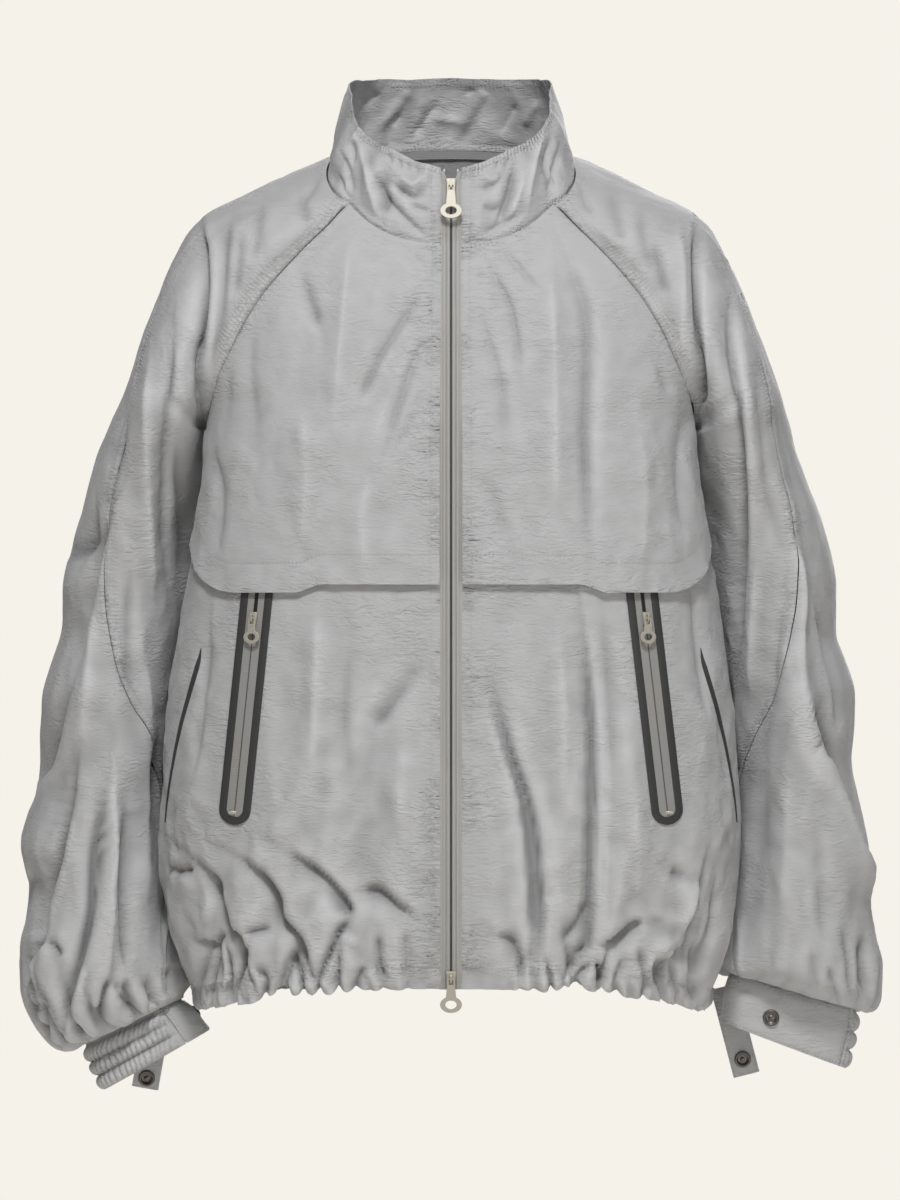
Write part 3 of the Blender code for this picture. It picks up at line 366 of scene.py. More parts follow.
FOLD_STEPS = 40
FOLD_PROFILE = 1.18  # 2 would be a round fold, and 1 a sharp crease
FOLD_ENDS = 0.28  # the share of a fold's length over which it rises at either end
FOLD_END_HEIGHT = 0.15  # how high it starts, as a share of its height


def fold_height(places, placed):
    """The height of soft folds and creases, each along its own line, at places in millimetres."""
    flat = places.reshape(-1, 2)
    total = np.zeros(len(flat))
    for fold in placed:
        knots = np.array(fold.line, float)
        line = spread(len(knots), np.linspace(0, len(knots) - 1, FOLD_STEPS)) @ knots
        reach = 3 * max(fold.left, fold.right)
        near = np.all((flat > line.min(0) - reach) & (flat < line.max(0) + reach), axis=1)
        if not near.any():
            continue
        here = flat[near]
        ways = unit(np.gradient(line, axis=0))
        apart = here[:, None] - line[None]
        nearest = (apart**2).sum(-1).argmin(1)
        apart = apart[np.arange(len(here)), nearest]
        way = ways[nearest]
        sideways = way[:, 0] * apart[:, 1] - way[:, 1] * apart[:, 0]
        lengthways = (way * apart).sum(1)
        width = np.where(sideways > 0, fold.right, fold.left)
        share = nearest / (FOLD_STEPS - 1)
        ends = np.clip(np.minimum(share, 1 - share) / FOLD_ENDS, 0, 1)
        ends = between(FOLD_END_HEIGHT, 1, ends * ends * (3 - 2 * ends))
        beyond = np.where((nearest == 0) | (nearest == FOLD_STEPS - 1), np.abs(lengthways), 0)
        profile = np.exp(-(np.abs(sideways) / width) ** FOLD_PROFILE - (beyond / (2 * width)) ** 2)
        total[near] += fold.height / 1000 * ends * profile
    return total.reshape(places.shape[:-1])


def rumple(points, size, depth):
    """Uneven soft swellings and creases of about one size, all over a grid of points."""
    heights = [noise.fractal(Vector(p), 0.9, 2.1, 3) for p in (points / size).reshape(-1, 3)]
    return np.array(heights).reshape(points.shape[:-1]) * depth


FAR_AWAY = Vector((31.7, 12.3, 7.9))  # where a second pattern is read, unlike the first


def crumple(points, size, depth, upright=1.0):
    """Planes between crisp ridges, of about one size across and that size / upright in height."""
    scaled = [Vector(p) for p in (points / size * np.array((1, 1, upright))).reshape(-1, 3)]
    heights = [abs(noise.noise(p)) - abs(noise.noise(p + FAR_AWAY)) for p in scaled]
    return np.array(heights).reshape(points.shape[:-1]) * depth


# Crumples: the size of one across, how deep it is, how much lower than wide, and the share of its
# depth that is left where the cloth hangs free
Crumple = namedtuple("Crumple", "size depth upright least")


def crumpled(points, kinds, fullness):
    """Crumples of several sizes at once, deepest where the cloth is fullest."""
    return sum(
        crumple(points, kind.size, kind.depth, kind.upright) * between(kind.least, 1, fullness)
        for kind in kinds
    )


def steps(points, axis):
    """How far each point of a grid is along its row (axis 1) or column (axis 0), in metres."""
    lengths = np.linalg.norm(np.diff(points, axis=axis), axis=-1)
    return np.insert(np.cumsum(lengths, axis=axis), 0, 0.0, axis=axis)


# A seam or a row of stitches along u = at or v = at, from start to end. In metres: how far inside the
# line its stitches are, over what width the cloth lies flat beside it, how far it crinkles the cloth,
# and how deep it is sunk. The strength of its puckers is a share.
Row = namedtuple(
    "Row", "axis at offset flat crinkle start end sunk pucker",
    defaults=(0.0, 0.0, 0.012, 0.0, 1.0, 0.0009, 1.0),
)
PUCKER_REACH = 0.004
NARROW_BAND = 0.012  # a band of cloth between a seam and its stitches puckers right across up to here
SEAM_WIDTH = 0.0014  # of the groove along a seam
STITCHES_SUNK = 0.0003  # depth and width of the groove along a row of stitches
STITCHES_WIDTH = 0.0012


def line_distance(points, us, vs, row):
    """Distances from a seam's line over a grid, in metres, and how far along it each point is."""
    across, down = steps(points, 1), steps(points, 0)
    if row.axis == "u":
        k = int(np.abs(us - row.at).argmin())
        away, run, share = np.abs(across - across[:, k:k + 1]), down[:, k:k + 1], vs[:, None]
    else:
        k = int(np.abs(vs - row.at).argmin())
        away, run, share = np.abs(down - down[k:k + 1]), across[k:k + 1], us[None]
    inside = (share >= row.start) & (share <= row.end)
    return np.where(inside, away, 1.0), np.broadcast_to(run, away.shape)


STITCH_PITCH = 0.0033
STITCH_LENGTH = 0.0024
STITCH_WIDTH = 0.00055
stitch_lines = []


def stitch_line(points, normals, us, vs, row):
    """The line of one row of stitches over a grid of points, as places and the way out of the cloth."""
    if row.axis == "v":
        points, normals, us, vs = points.swapaxes(0, 1), normals.swapaxes(0, 1), vs, us
    k = int(np.abs(us - row.at).argmin())
    across = steps(points, 1)
    across = across - across[:, k:k + 1]
    kept = np.flatnonzero((vs >= row.start) & (vs <= row.end))
    places, ways = (
        np.array([[np.interp(row.offset, across[j], grid[j, :, c]) for c in range(3)] for j in kept])
        for grid in (points, normals)
    )
    return places, unit(ways)


def sew(name, lines, finish):
    """Stitches, each a small bead of thread half sunk in the cloth, evenly along each line."""
    bm = bmesh.new()
    bmesh.ops.create_icosphere(bm, subdivisions=1, radius=0.5)
    bead = np.array([vert.co for vert in bm.verts])
    sides = np.array([[vert.index for vert in face.verts] for face in bm.faces])
    bm.free()
    found = []
    for places, normals in lines:
        run = steps(places[None], 1)[0]
        starts = np.arange(STITCH_PITCH / 2, run[-1], STITCH_PITCH)
        at, out = (
            np.stack([np.interp(starts, run, grid[:, c]) for c in range(3)], axis=1)
            for grid in (places, normals)
        )
        out = unit(out)
        ways = unit(np.gradient(at, axis=0)) if len(at) > 1 else out
        sizes = (ways * STITCH_LENGTH, np.cross(out, ways) * STITCH_WIDTH, out * STITCH_WIDTH)
        axes = np.stack(sizes, axis=1)
        found.append(np.einsum("pa,sac->spc", bead, axes) + (at + out * STITCH_WIDTH / 5)[:, None])
    beads = np.concatenate(found)
    faces = sides[None] + np.arange(len(beads))[:, None, None] * len(bead)
    mesh = bpy.data.meshes.new(name)
    mesh.from_pydata(beads.reshape(-1, 3).tolist(), [], faces.reshape(-1, 3).tolist())
    bm = bmesh.new()
    bm.from_mesh(mesh)
    return finished(name, bm, finish)


def finished(name, bm, finish, smooth=True):
    """A mesh object from a bmesh, with its material, riding on the jacket."""
    mesh = bpy.data.meshes.new(name)
    bm.to_mesh(mesh)
    bm.free()
    if smooth:
        mesh.shade_smooth()
    mesh.materials.append(finish)
    made = bpy.data.objects.new(name, mesh)
    scene.collection.objects.link(made)
    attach(made, "jacket")
    return made


def set_values(mesh, name, values):
    """Gives the points of a mesh one value each, for its material."""
    mesh.attributes.new(name, "FLOAT", "POINT").data.foreach_set("value", values)


def thicken(made, name, thickness):
    """Gives a sheet its thickness, inwards."""
    solid = made.modifiers.new(name, "SOLIDIFY")
    solid.thickness = thickness
    solid.offset = -1.0


PAINTED_SHADE_DEPTH = 0.0065  # metres below the cloth round it where a hollow's painted shade is darkest
EVEN_PAINTED_SHADE = 0.3  # how much painted shade level cloth gets, from 0 on a ridge to 1 in a hollow
NEIGHBOURS = 4  # how many grid points away the cloth round a point reaches


def below(heights):
    """How far each point of a grid lies below the mean of the cloth round it, in metres."""
    padded = np.pad(heights, NEIGHBOURS, mode="edge")
    rows, columns = heights.shape
    shifts = range(0, 2 * NEIGHBOURS + 1, 2)
    windows = [padded[j:j + rows, i:i + columns] for j in shifts for i in shifts]
    return np.mean(windows, axis=0) - heights


def lattice(us, vs, keep=None):
    """A grid of faces with one point at each pair of u and v, and the row and column of each point."""
    bm = bmesh.new()
    columns, rows = len(us) - 1, len(vs) - 1
    bmesh.ops.create_grid(bm, x_segments=columns, y_segments=rows, size=0.5)
    if keep:
        dropped = []
        for face in bm.faces:
            at = face.calc_center_median()
            i, j = int((at.x + 0.5) * columns), int((at.y + 0.5) * rows)
            if not keep((us[i] + us[i + 1]) / 2, (vs[j] + vs[j + 1]) / 2):
                dropped.append(face)
        bmesh.ops.delete(bm, geom=dropped, context="FACES")
    for edge in bm.edges:
        edge.smooth = not edge.is_boundary
    places = np.array([vert.co[:2] for vert in bm.verts]) + 0.5
    return bm, np.rint(places[:, 1] * rows).astype(int), np.rint(places[:, 0] * columns).astype(int)


PLAIN_CRINKLE = 0.46  # how strong the crinkle is away from seams and tapes


def cloth(
    name, node, place, us, vs, relief, net=(24, 24), rows=(), keep=None, finish=nylon, thick=SHELL,
    crinkled=None,
):
    """A piece of cloth over its CAD node: place(u, v) read from a net of knots, and its relief.

    us and vs are the grid's places, or their start, stop and count.
    """
    us, vs = (np.linspace(*places) if isinstance(places, tuple) else places for places in (us, vs))
    knots_u, knots_v = np.linspace(0, 1, net[0] + 1), np.linspace(0, 1, net[1] + 1)
    coarse = np.array([[place(u, v, 0.0) for u in knots_u] for v in knots_v])
    points = np.einsum(
        "jv,iu,vuc->jic", spread(net[1] + 1, vs * net[1]), spread(net[0] + 1, us * net[0]), coarse
    )
    outwards = place(0.5, 0.5, 0.001) - place(0.5, 0.5, 0.0)
    normals = facing(points, outwards)
    heights = relief(points, normals, us, vs)
    marks = {key: np.zeros(heights.shape) for key in ("near_u", "run_v", "near_v", "run_u")}
    marks["crinkle"] = np.full(heights.shape, PLAIN_CRINKLE)
    if crinkled:
        marks["crinkle"] = np.maximum(marks["crinkle"], crinkled(points))
    painted_shade_calm = np.ones(heights.shape)
    for row in rows:
        away, along_row = line_distance(points, us, vs, row)
        near, run = ("near_u", "run_v") if row.axis == "u" else ("near_v", "run_u")
        past = away - abs(row.offset)
        past = np.maximum(past, 0) if abs(row.offset) < NARROW_BAND else np.abs(past)
        closeness = row.pucker * np.exp(-(past / PUCKER_REACH) ** 2) * (1.0 if row.offset else 0.5)
        marks[run] = np.where(closeness > marks[near], along_row, marks[run])
        marks[near] = np.maximum(marks[near], closeness)
        marks["crinkle"] = np.maximum(marks["crinkle"], np.exp(-(away / row.crinkle) ** 1.4))
        if row.flat:
            heights *= 1 - np.exp(-(away / row.flat) ** 2)
            painted_shade_calm *= 1 - np.exp(-(away / (3 * row.flat)) ** 2)
        heights -= row.sunk * np.exp(-(away / SEAM_WIDTH) ** 2)
        if row.offset:
            heights -= STITCHES_SUNK * np.exp(-((away - abs(row.offset)) / STITCHES_WIDTH) ** 2)
    # Painted shade: points below the cloth round them are coloured darker and points above it lighter, less
    # so beside flat seams.
    marks["shade"] = np.clip(EVEN_PAINTED_SHADE + painted_shade_calm * below(heights) / PAINTED_SHADE_DEPTH, 0, 1)
    points = points + normals * heights[..., None]
    normals = facing(points, outwards)
    for row in rows:
        if row.offset:
            stitch_lines.append(stitch_line(points, normals, us, vs, row))
    bm, j, i = lattice(us, vs, keep)
    made = finished(name, bm, finish)
    mesh = made.data
    mesh.vertices.foreach_set("co", points[j, i].ravel())
    for key, values in marks.items():
        set_values(mesh, key, values[j, i])
    first = mesh.polygons[0]
    corner = first.vertices[0]
    if first.normal.dot(Vector(normals[j[corner], i[corner]])) < 0:
        mesh.flip_normals()
    mesh.update()
    thicken(made, "thickness of the cloth", thick)
    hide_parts(node)
    return made


# Front yokes: two capes of nylon sewn into the neck and raglan seams and to the zip, which hang free
# over the chest. Their lower edges are hemmed with one row of stitches.

ZIP_HALF_WIDTH = 0.0075
NECK_FRONT_Z = -0.0616
NECK_BACK_Z = 0.025
YOKE_HEM_NEAR_ZIP_Z = -0.3385
YOKE_STEP_X = 0.108
YOKE_STEP_WIDTH = 0.010
YOKE_SIDE_ANGLE = math.radians(79)
YOKE_CORNER_Z = -0.306
YOKE_CORNER_ANGLE = math.radians(45)
YOKE_CORNER_START = 0.65
YOKE_LIFT = 0.0032  # how far a yoke stands off the front below, and where it starts to
YOKE_LIFT_Z = -0.190
YOKE_FLARE = 0.0020  # how much further the free lower edge stands off
YOKE_FLARE_Z = -0.270
YOKE_ROWS = 12
CAP_ROWS = 7  # rows of a raglan seam, from the neck to the armpit
FRONT_TOP_Z = -0.228
Seam = namedtuple("Seam", "front_x front_z back_x back_z")
RAGLAN = metres(
    Seam,
    (83, -28, 72, 20),
    (105, -50, 98, -6),
    (124.5, -69, 121, -34),
    (152, -101, 150, -73),
    (169, -127, 168, -107),
    (185, -158, 184.5, -146),
    (195.5, -187, 195.5, -183),
    (199.5, -213, 199.5, -213),
)

YOKE_FOLDS = folds(
    (4, 2, -3.5, -50, -50, -34, -56, -15, -67, -8, -73),
    (4, 3.5, -3, -61, -44, -40, -61, -19, -79),
    (6.5, 4, -6, -21, -94, -58, -151, -77, -193),
    (4, 3.5, -5, -17, -136, -30, -155, -58, -239),
    (3.5, 2.5, -3.5, -17, -170, -49, -232),
    (10, 7.5, 4.5, -81, -44, -89, -121, -96, -212),
    (6.5, 4, -6, -126, -80, -107, -129),
    (10, 6.5, -3.5, -162, -98, -165, -162, -158, -230),
    (13, 10, 3.5, -124, -187, -119, -253, -124, -318),
    (10, 6.5, 3.5, -66, -244, -73, -285, -70, -330),
    (10, 5, -8, 93, -60, 112, -121, 111, -212, 114, -318),
    (10, 6.5, 4, 83, -64, 86, -187, 86, -285),
    (13, 10, 3.5, 155, -203, 159, -269, 155, -335),
    (3.5, 3.5, -4.5, 170, -159, 180, -182),
    (2.5, 2.5, -3, 31, -60, 22, -66, 15, -71),
    (5.5, 3.5, -4.5, 27, -69, 50, -113, 57, -171),
    (4, 3.5, -3.5, 40, -59, 73, -97),
    (5.5, 4, -3.5, 20, -105, 40, -171, 44, -228),
    (6.5, 5, -3, 24, -244, 48, -302),
    (7.5, 5, -4.5, 196, -187, 188, -244, 191, -302),
    (7.5, 5, -4.5, -196, -220, -189, -269, -193, -318),
    (6.5, 4, -3.5, -175, -105, -183, -154, -184, -203),
)
FULL_FROM, FULL_BY = -0.36, -0.62  # the heights between which the body's cloth fills out into folds
FACING = 2.5  # how fast folds seen from one side rise where the cloth turns to that side
BODY_CRUMPLES = (Crumple(0.062, 0.011, 0.42, 0.12), Crumple(0.023, 0.0030, 0.8, 0.35))


def raglan_point(row, front):
    """Angle and height of a raglan seam at +X, from row 0 at the neck to CAP_ROWS at the armpit."""
    if row >= CAP_ROWS:
        return math.pi / 2, RAGLAN[-1].front_z
    knots = range(CAP_ROWS + 1)
    face = "front" if front else "back"
    x = along(knots, column(RAGLAN, face + "_x"), row)
    z = along(knots, column(RAGLAN, face + "_z"), row)
    angle = body_angle(x, z)
    return (angle if front else math.pi - angle), z


def patch(first_row, last_row, inner, outer):
    """A Coons patch between four edges. Each edge is a function from 0 to 1 to a Vector."""

    def place(u, v):
        rows = between(first_row(u), last_row(u), v)
        columns = between(inner(v), outer(v), u)
        corners = between(
            between(first_row(0), first_row(1), u), between(last_row(0), last_row(1), u), v
        )
        return rows + columns - corners

    return place


def neck_seam_front(u):
    """Angle and height of the neck seam at +X in front, from the zip to the raglan seam."""
    x = between(ZIP_HALF_WIDTH, RAGLAN[0].front_x, u)
    rise = (x / RAGLAN[0].front_x) ** 2.8
    z = between(NECK_FRONT_Z, RAGLAN[0].front_z, rise)
    return Vector((body_angle(x, z), z))


def beside_zip(z):
    """Angle and height of the front edge at +X, where it meets the zip."""
    return Vector((body_angle(ZIP_HALF_WIDTH, z), z))


def yoke_bottom(u):
    """Angle and height of the yoke's lower edge, with its step near the zip and its round corner."""
    corner = (u - YOKE_CORNER_START) / (1 - YOKE_CORNER_START) * math.pi / 2
    if corner > 0:
        angle = between(YOKE_CORNER_ANGLE, YOKE_SIDE_ANGLE, corner / (math.pi / 2))
        return Vector((angle, between(YOKE_CORNER_Z, YOKE_HEM_Z, math.cos(corner))))
    start = beside_zip(YOKE_HEM_NEAR_ZIP_Z)
    angle = between(start.x, YOKE_CORNER_ANGLE, u / YOKE_CORNER_START)
    x = body(angle, YOKE_HEM_Z).x
    step = ease((x - YOKE_STEP_X) / YOKE_STEP_WIDTH)
    return Vector((angle, between(YOKE_HEM_NEAR_ZIP_Z, YOKE_HEM_Z, step)))


def yoke_side(v):
    """The yoke's outer edge: the raglan seam, then the free edge down to the corner."""
    row = v * YOKE_ROWS
    if row <= CAP_ROWS:
        angle, z = raglan_point(row, True)
        return Vector((min(angle, YOKE_SIDE_ANGLE), z))
    share = (row - CAP_ROWS) / (YOKE_ROWS - CAP_ROWS)
    return Vector((YOKE_SIDE_ANGLE, between(RAGLAN[-1].front_z, YOKE_CORNER_Z, share)))


def yoke_place(side):
    """The place of each point of a yoke, as a function of u, v and lift."""
    edges = patch(
        neck_seam_front,
        yoke_bottom,
        lambda v: beside_zip(between(NECK_FRONT_Z, YOKE_HEM_NEAR_ZIP_Z, v)),
        yoke_side,
    )

    def place(u, v, lift):
        angle, z = edges(u, v)
        lift += YOKE_LIFT * ease((YOKE_LIFT_Z - z) / (YOKE_LIFT_Z - FRONT_TOP_Z))
        lift += YOKE_FLARE * ease((YOKE_FLARE_Z - z) / (YOKE_FLARE_Z - YOKE_HEM_Z))
        return body(angle * side, z, lift)

    return place


def hanging(points):
    """The unevenness of the body's cloth, which grows to where the hem draws it in."""
    low = np.clip((FULL_FROM - points[..., 2]) / (FULL_FROM - FULL_BY), 0, 1)
    return crumpled(points, BODY_CRUMPLES, low) + rumple(points, 0.045, 0.0014)


def front_relief(placed):
    """Relief for cloth in front: its folds as they are seen, over uneven swellings."""

    def relief(points, normals, us, vs):
        turned = np.clip(-normals[..., 1] * FACING, 0, 1)
        return fold_height(seen(points), placed) * turned + hanging(points)

    return relief


YOKE_RAGLAN_END = CAP_ROWS / YOKE_ROWS
for side, word in SIDES:
    made = cloth(
        "yoke_cloth_" + word, "front_yoke_" + word, yoke_place(side), (0.003, 0.997, 101), (0.002, 1, 121),
        front_relief(YOKE_FOLDS),
        rows=(
            Row("v", 0.002, flat=0.010), Row("u", 0.003, 0.0075, 0.010, 0.050),
            Row("v", 1, -0.024, sunk=0.0, pucker=0.3), Row("u", 0.997, flat=0.014, end=YOKE_RAGLAN_END),
        ),
    )


# Fronts: the lower front panels, one each side of the zip, from under the yokes to the hem, with the
# largest folds of the jacket where the hem draws them in.

HEM_CENTRE_Z = -0.6640
HEM_SIDE_Z = -0.6860
HEM_BACK_Z = -0.6700
HEM_BAND = 0.018  # height of the hem's casing

LOWER_FOLDS = folds(
    (10, 7.5, 4.5, -109, -351, -114, -499),
    (6.5, 4, -7, -18, -395, -45, -433, -65, -459),
    (2, 4, -6, -20, -459, -20, -548, -19, -601, -26, -646),
    (11.5, 2.5, -13.5, -220, -556, -198, -579, -193, -598, -183, -622, -174, -629, -168, -652, -155, -678),
    (12.5, 2.5, -13.5, -185, -556, -159, -573, -144, -594, -140, -613, -125, -629, -116, -652, -109, -667),
    (14, 2.5, -12, -140, -553, -105, -577, -86, -601, -84, -613),
    (3.5, 3, -11, -84, -611, -93, -626, -98, -637, -107, -661),
    (10, 2.5, -11, -75, -589, -61, -588, -47, -598, -21, -618),
    (2.5, 2.5, 4.5, -93, -626, -75, -635),
    (2.5, 2.5, -5.5, -172, -625, -161, -623, -149, -620),
    (2.5, 2.5, -5.5, -200, -635, -190, -626),
    (4, 2.5, -8, -217, -628, -196, -642, -190, -669),
    (5.5, 2.5, -9.5, -229, -622, -219, -658, -206, -682),
    (3.5, 4, -7, -235, -568, -224, -574, -214, -571),
    (5, 5, 4, -209, -581, -203, -601, -209, -622),
    (8, 6.5, 4, -39, -466, -45, -548),
    (8, 5.5, -4, -83, -384, -87, -449, -81, -515),
    (5, 2.5, -8, -60, -622, -58, -646, -52, -667),
    (4, 2.5, -7, -39, -622, -35, -642, -40, -667),
    (3.5, 2, -8, -133, -638, -127, -658, -119, -676),
    (9, 2.5, 7, 19, -396, 38, -466, 55, -523, 62, -608, 62, -667),
    (18, 2.5, -11.5, 27, -403, 48, -470, 66, -525, 73, -581, 75, -622, 70, -671),
    (5, 2.5, -8, 35, -627, 49, -629, 57, -646, 58, -667),
    (12.5, 1.5, -11.5, 106, -348, 116, -425, 119, -479, 118, -564, 116, -629, 108, -646, 101, -667),
    (8, 8, -4.5, 124, -359, 132, -433, 130, -507),
    (5, 4, -7, 90, -635, 104, -617, 116, -597),
    (7.5, 2, -9.5, 120, -636, 138, -629, 152, -617, 161, -615),
    (2.5, 2.5, -11, 122, -648, 125, -669),
    (7.5, 3.5, 8, 187, -629, 166, -646, 157, -668),
    (2.5, 5, -8, 196, -634, 178, -650, 167, -671),
    (2.5, 2.5, 7, 184, -635, 175, -671),
    (4, 4, -4, 181, -572, 193, -579),
    (11.5, 4, 9.5, 203, -579, 196, -602, 187, -627),
    (4, 5, -9.5, 212, -556, 204, -597, 199, -622, 191, -658),
    (4, 4, -7, 221, -572, 216, -617, 199, -661),
    (16.5, 13, 4, 147, -433, 152, -548, 155, -609),
    (8, 5.5, 4, 89, -384, 94, -449, 91, -515),
    (6.5, 5, 2.5, 163, -351, 168, -392),
    (3.5, 3.5, -4, 80, -589, 86, -601),
    (6.5, 5, -5.5, 196, -318, 204, -384, 209, -449),
    (6.5, 5, -5.5, -198, -359, -203, -433, -209, -499),
)


def hem_z(angle):
    """The height of the hem's lower edge round the body."""
    centre = HEM_CENTRE_Z if math.cos(angle) > 0 else HEM_BACK_Z
    return between(centre, HEM_SIDE_Z, math.sin(angle) ** 2)


# The middles of the gathers at the hem in front, and the height of their feet, in millimetres
GATHERS = (
    -208.0, -195.2, -183.0, -173.8, -153.3, -143.0, -134.5, -121.0, -105.0, -91.0, -78.7, -54.1, -37.7,
    58.0, 69.0, 81.2, 93.5, 100.9, 108.2, 122.5, 137.8, 156.6, 172.2, 185.3, 199.0,
)
GATHER_FOOT = -684.0
random.seed(5)
GATHER_FOLDS = tuple(
    Fold(
        line=(
            (x, GATHER_FOOT), (x + random.uniform(-3, 3), GATHER_FOOT + 20),
            (x + random.uniform(-12, 12), GATHER_FOOT + random.uniform(34, 66)),
        ),
        left=random.uniform(2.2, 5.0), right=random.uniform(1.8, 3.4),
        height=random.uniform(-9, -5) * min(abs(x) / 90, 1),
    )
    for x in GATHERS
)


POCKET_TOP = {-1: (0.1538, -0.3250), 1: (0.1512, -0.3250)}
POCKET_BOTTOM = (0.1737, -0.5195)
POCKET_RADIUS = 0.0128


def pocket_frame(side):
    """The pocket's centre line at its two ends, and the unit vectors along and across it."""
    top = Vector((POCKET_TOP[side][0] * side, POCKET_TOP[side][1]))
    bottom = Vector((POCKET_BOTTOM[0] * side, POCKET_BOTTOM[1]))
    down = (bottom - top).normalized()
    return top, bottom, down, Vector((-down.y, down.x))


POCKET_CRINKLE = 0.034  # how far from a pocket's middle line its bonded tapes crinkle the cloth
POCKET_STIFF = 0.024  # how far from a pocket's middle line its tapes hold the cloth flat
POCKET_FLATNESS = 0.85  # how much of the relief they take away


def from_pocket(points, side):
    """How far each point is from a pocket's middle line, in metres."""
    top, bottom, down, _ = pocket_frame(side)
    flat = points[..., (0, 2)] - np.array(top)
    share = np.clip((flat @ np.array(down)) / (bottom - top).length, -0.1, 1)
    return np.linalg.norm(flat - share[..., None] * np.array(bottom - top), axis=-1)


def stiffened(relief, side):
    """The same relief, held nearly flat round the pocket."""

    def held(points, normals, us, vs):
        apart = from_pocket(points, side)
        flatness = POCKET_FLATNESS * np.exp(-(apart / POCKET_STIFF) ** 4)
        return relief(points, normals, us, vs) * (1 - flatness)

    return held


def front_place(side):
    """The place of each point of a lower front panel."""

    def top(u):
        return between(beside_zip(FRONT_TOP_Z), Vector((math.pi / 2, FRONT_TOP_Z)), u)

    def bottom(u):
        start = beside_zip(HEM_CENTRE_Z + HEM_BAND)
        angle = between(start.x, math.pi / 2, u)
        return Vector((angle, hem_z(angle) + HEM_BAND))

    edges = patch(
        top,
        bottom,
        lambda v: beside_zip(between(FRONT_TOP_Z, HEM_CENTRE_Z + HEM_BAND, v)),
        lambda v: Vector((math.pi / 2, between(FRONT_TOP_Z, HEM_SIDE_Z + HEM_BAND, v))),
    )

    def place(u, v, lift):
        angle, z = edges(u, v)
        under_yoke = ease((z - YOKE_HEM_Z - UNDER_YOKE_START) / UNDER_YOKE_RAMP)
        return body(angle * side, z, lift - UNDER_YOKE * under_yoke)

    return place


UNDER_YOKE = 0.011  # how far the fronts lie back where the yokes cover them
UNDER_YOKE_START = 0.020  # above the yokes' lower edges
UNDER_YOKE_RAMP = 0.030
front_sheets = {}
for side, word in SIDES:
    front_sheets[side] = cloth(
        "front_cloth_" + word, "front_" + word, front_place(side), (0.002, 0.998, 121), (0, 1, 141),
        stiffened(front_relief(LOWER_FOLDS + GATHER_FOLDS), side),
        crinkled=lambda points: 0.9 * np.exp(-(from_pocket(points, side) / POCKET_CRINKLE) ** 2),
        rows=(
            Row("u", 0.002, 0.0075, 0.010, 0.055), Row("u", 0.998, flat=0.010),
            Row("v", 1, crinkle=0.02, sunk=0.0),
        ),
    )


# Back: one piece from the neck seam to the hem, between the raglan seams and the side seams.

BACK_FOLDS = folds(
    (14, 14, 7, -175, -470, -140, -560, -110, -640),
    (12, 15, -7, -60, -440, -52, -550, -40, -650),
    (15, 11, 6, 30, -420, 40, -540, 55, -650),
    (13, 13, -7, 120, -460, 146, -550, 160, -640),
    (20, 20, 4, -120, -180, -98, -290, -60, -380),
    (20, 20, 4, 125, -180, 100, -290, 70, -390),
    (11, 11, -2.5, -20, -60, -34, -160, -28, -260),
    (12, 12, -2.5, 36, -70, 48, -180, 40, -300),
    (9, 9, -4, -170, -240, -130, -330, -104, -440),
    (9, 9, -4, 172, -250, 140, -340, 112, -430),
    (7, 7, -4, -96, -520, -84, -580, -88, -650),
    (7, 7, -4, 88, -540, 92, -600, 84, -650),
    (9, 9, 4, -6, -500, 4, -580, 0, -650),
    (6, 6, -2.5, -150, -110, -128, -170, -120, -230),
    (6, 6, -2.5, 150, -110, 130, -170, 124, -230),
)
BACK_GATHERS = (
    -201, -188, -171, -159, -141, -128, -109, -97, -80, -63, -52, -33, -19, -4, 13, 26, 41, 58, 70, 88,
    103, 117, 134, 150, 163, 181, 195,
)


def neck_seam_back(u):
    """Angle and height of the neck seam behind, from the raglan seam at +X to the one at -X."""
    x = between(RAGLAN[0].back_x, -RAGLAN[0].back_x, u)
    drop = (x / RAGLAN[0].back_x) ** 2
    z = between(NECK_BACK_Z, RAGLAN[0].back_z, drop)
    return Vector((math.pi - body_angle(x, z), z))


BACK_ROWS = CAP_ROWS + 12


def back_place(u, v, lift):
    """The place of each point of the back."""

    def side_edge(v):
        row = v * BACK_ROWS
        if row <= CAP_ROWS:
            return Vector(raglan_point(row, False))
        share = (row - CAP_ROWS) / (BACK_ROWS - CAP_ROWS)
        return Vector((math.pi / 2, between(RAGLAN[-1].back_z, HEM_SIDE_Z + HEM_BAND, share)))

    def far_edge(v):
        angle, z = side_edge(v)
        return Vector((2 * math.pi - angle, z))

    def bottom(u):
        angle = between(math.pi / 2, math.pi * 1.5, u)
        return Vector((angle, hem_z(angle) + HEM_BAND))

    return body(*patch(neck_seam_back, bottom, side_edge, far_edge)(u, v), lift)


BACK_GATHER_FOLDS = tuple(
    Fold(
        line=((x, GATHER_FOOT), (x + random.uniform(-5, 5), GATHER_FOOT + random.uniform(35, 80))),
        left=random.uniform(2.6, 5.0), right=random.uniform(2.6, 5.0), height=random.uniform(-7.5, -4.5),
    )
    for x in BACK_GATHERS
)


def back_relief(points, normals, us, vs):
    """Relief for the back: its folds as they lie from behind, over uneven swellings."""
    turned = np.clip(normals[..., 1] * FACING, 0, 1)
    flat = points[..., (0, 2)] * 1000
    return fold_height(flat, BACK_FOLDS + BACK_GATHER_FOLDS) * turned + hanging(points)


back_sheet = cloth(
    "back_cloth", "back", back_place, (0.001, 0.999, 125), (0.001, 1, 145), back_relief, net=(24, 38),
    rows=(
        Row("v", 0.001, flat=0.010), Row("u", 0.001, flat=0.014), Row("u", 0.999, flat=0.014),
        Row("v", 1, crinkle=0.02, sunk=0.0),
    ),
)


# Hem: a casing of the same nylon round the bottom, gathered on flat elastic, in three pieces.

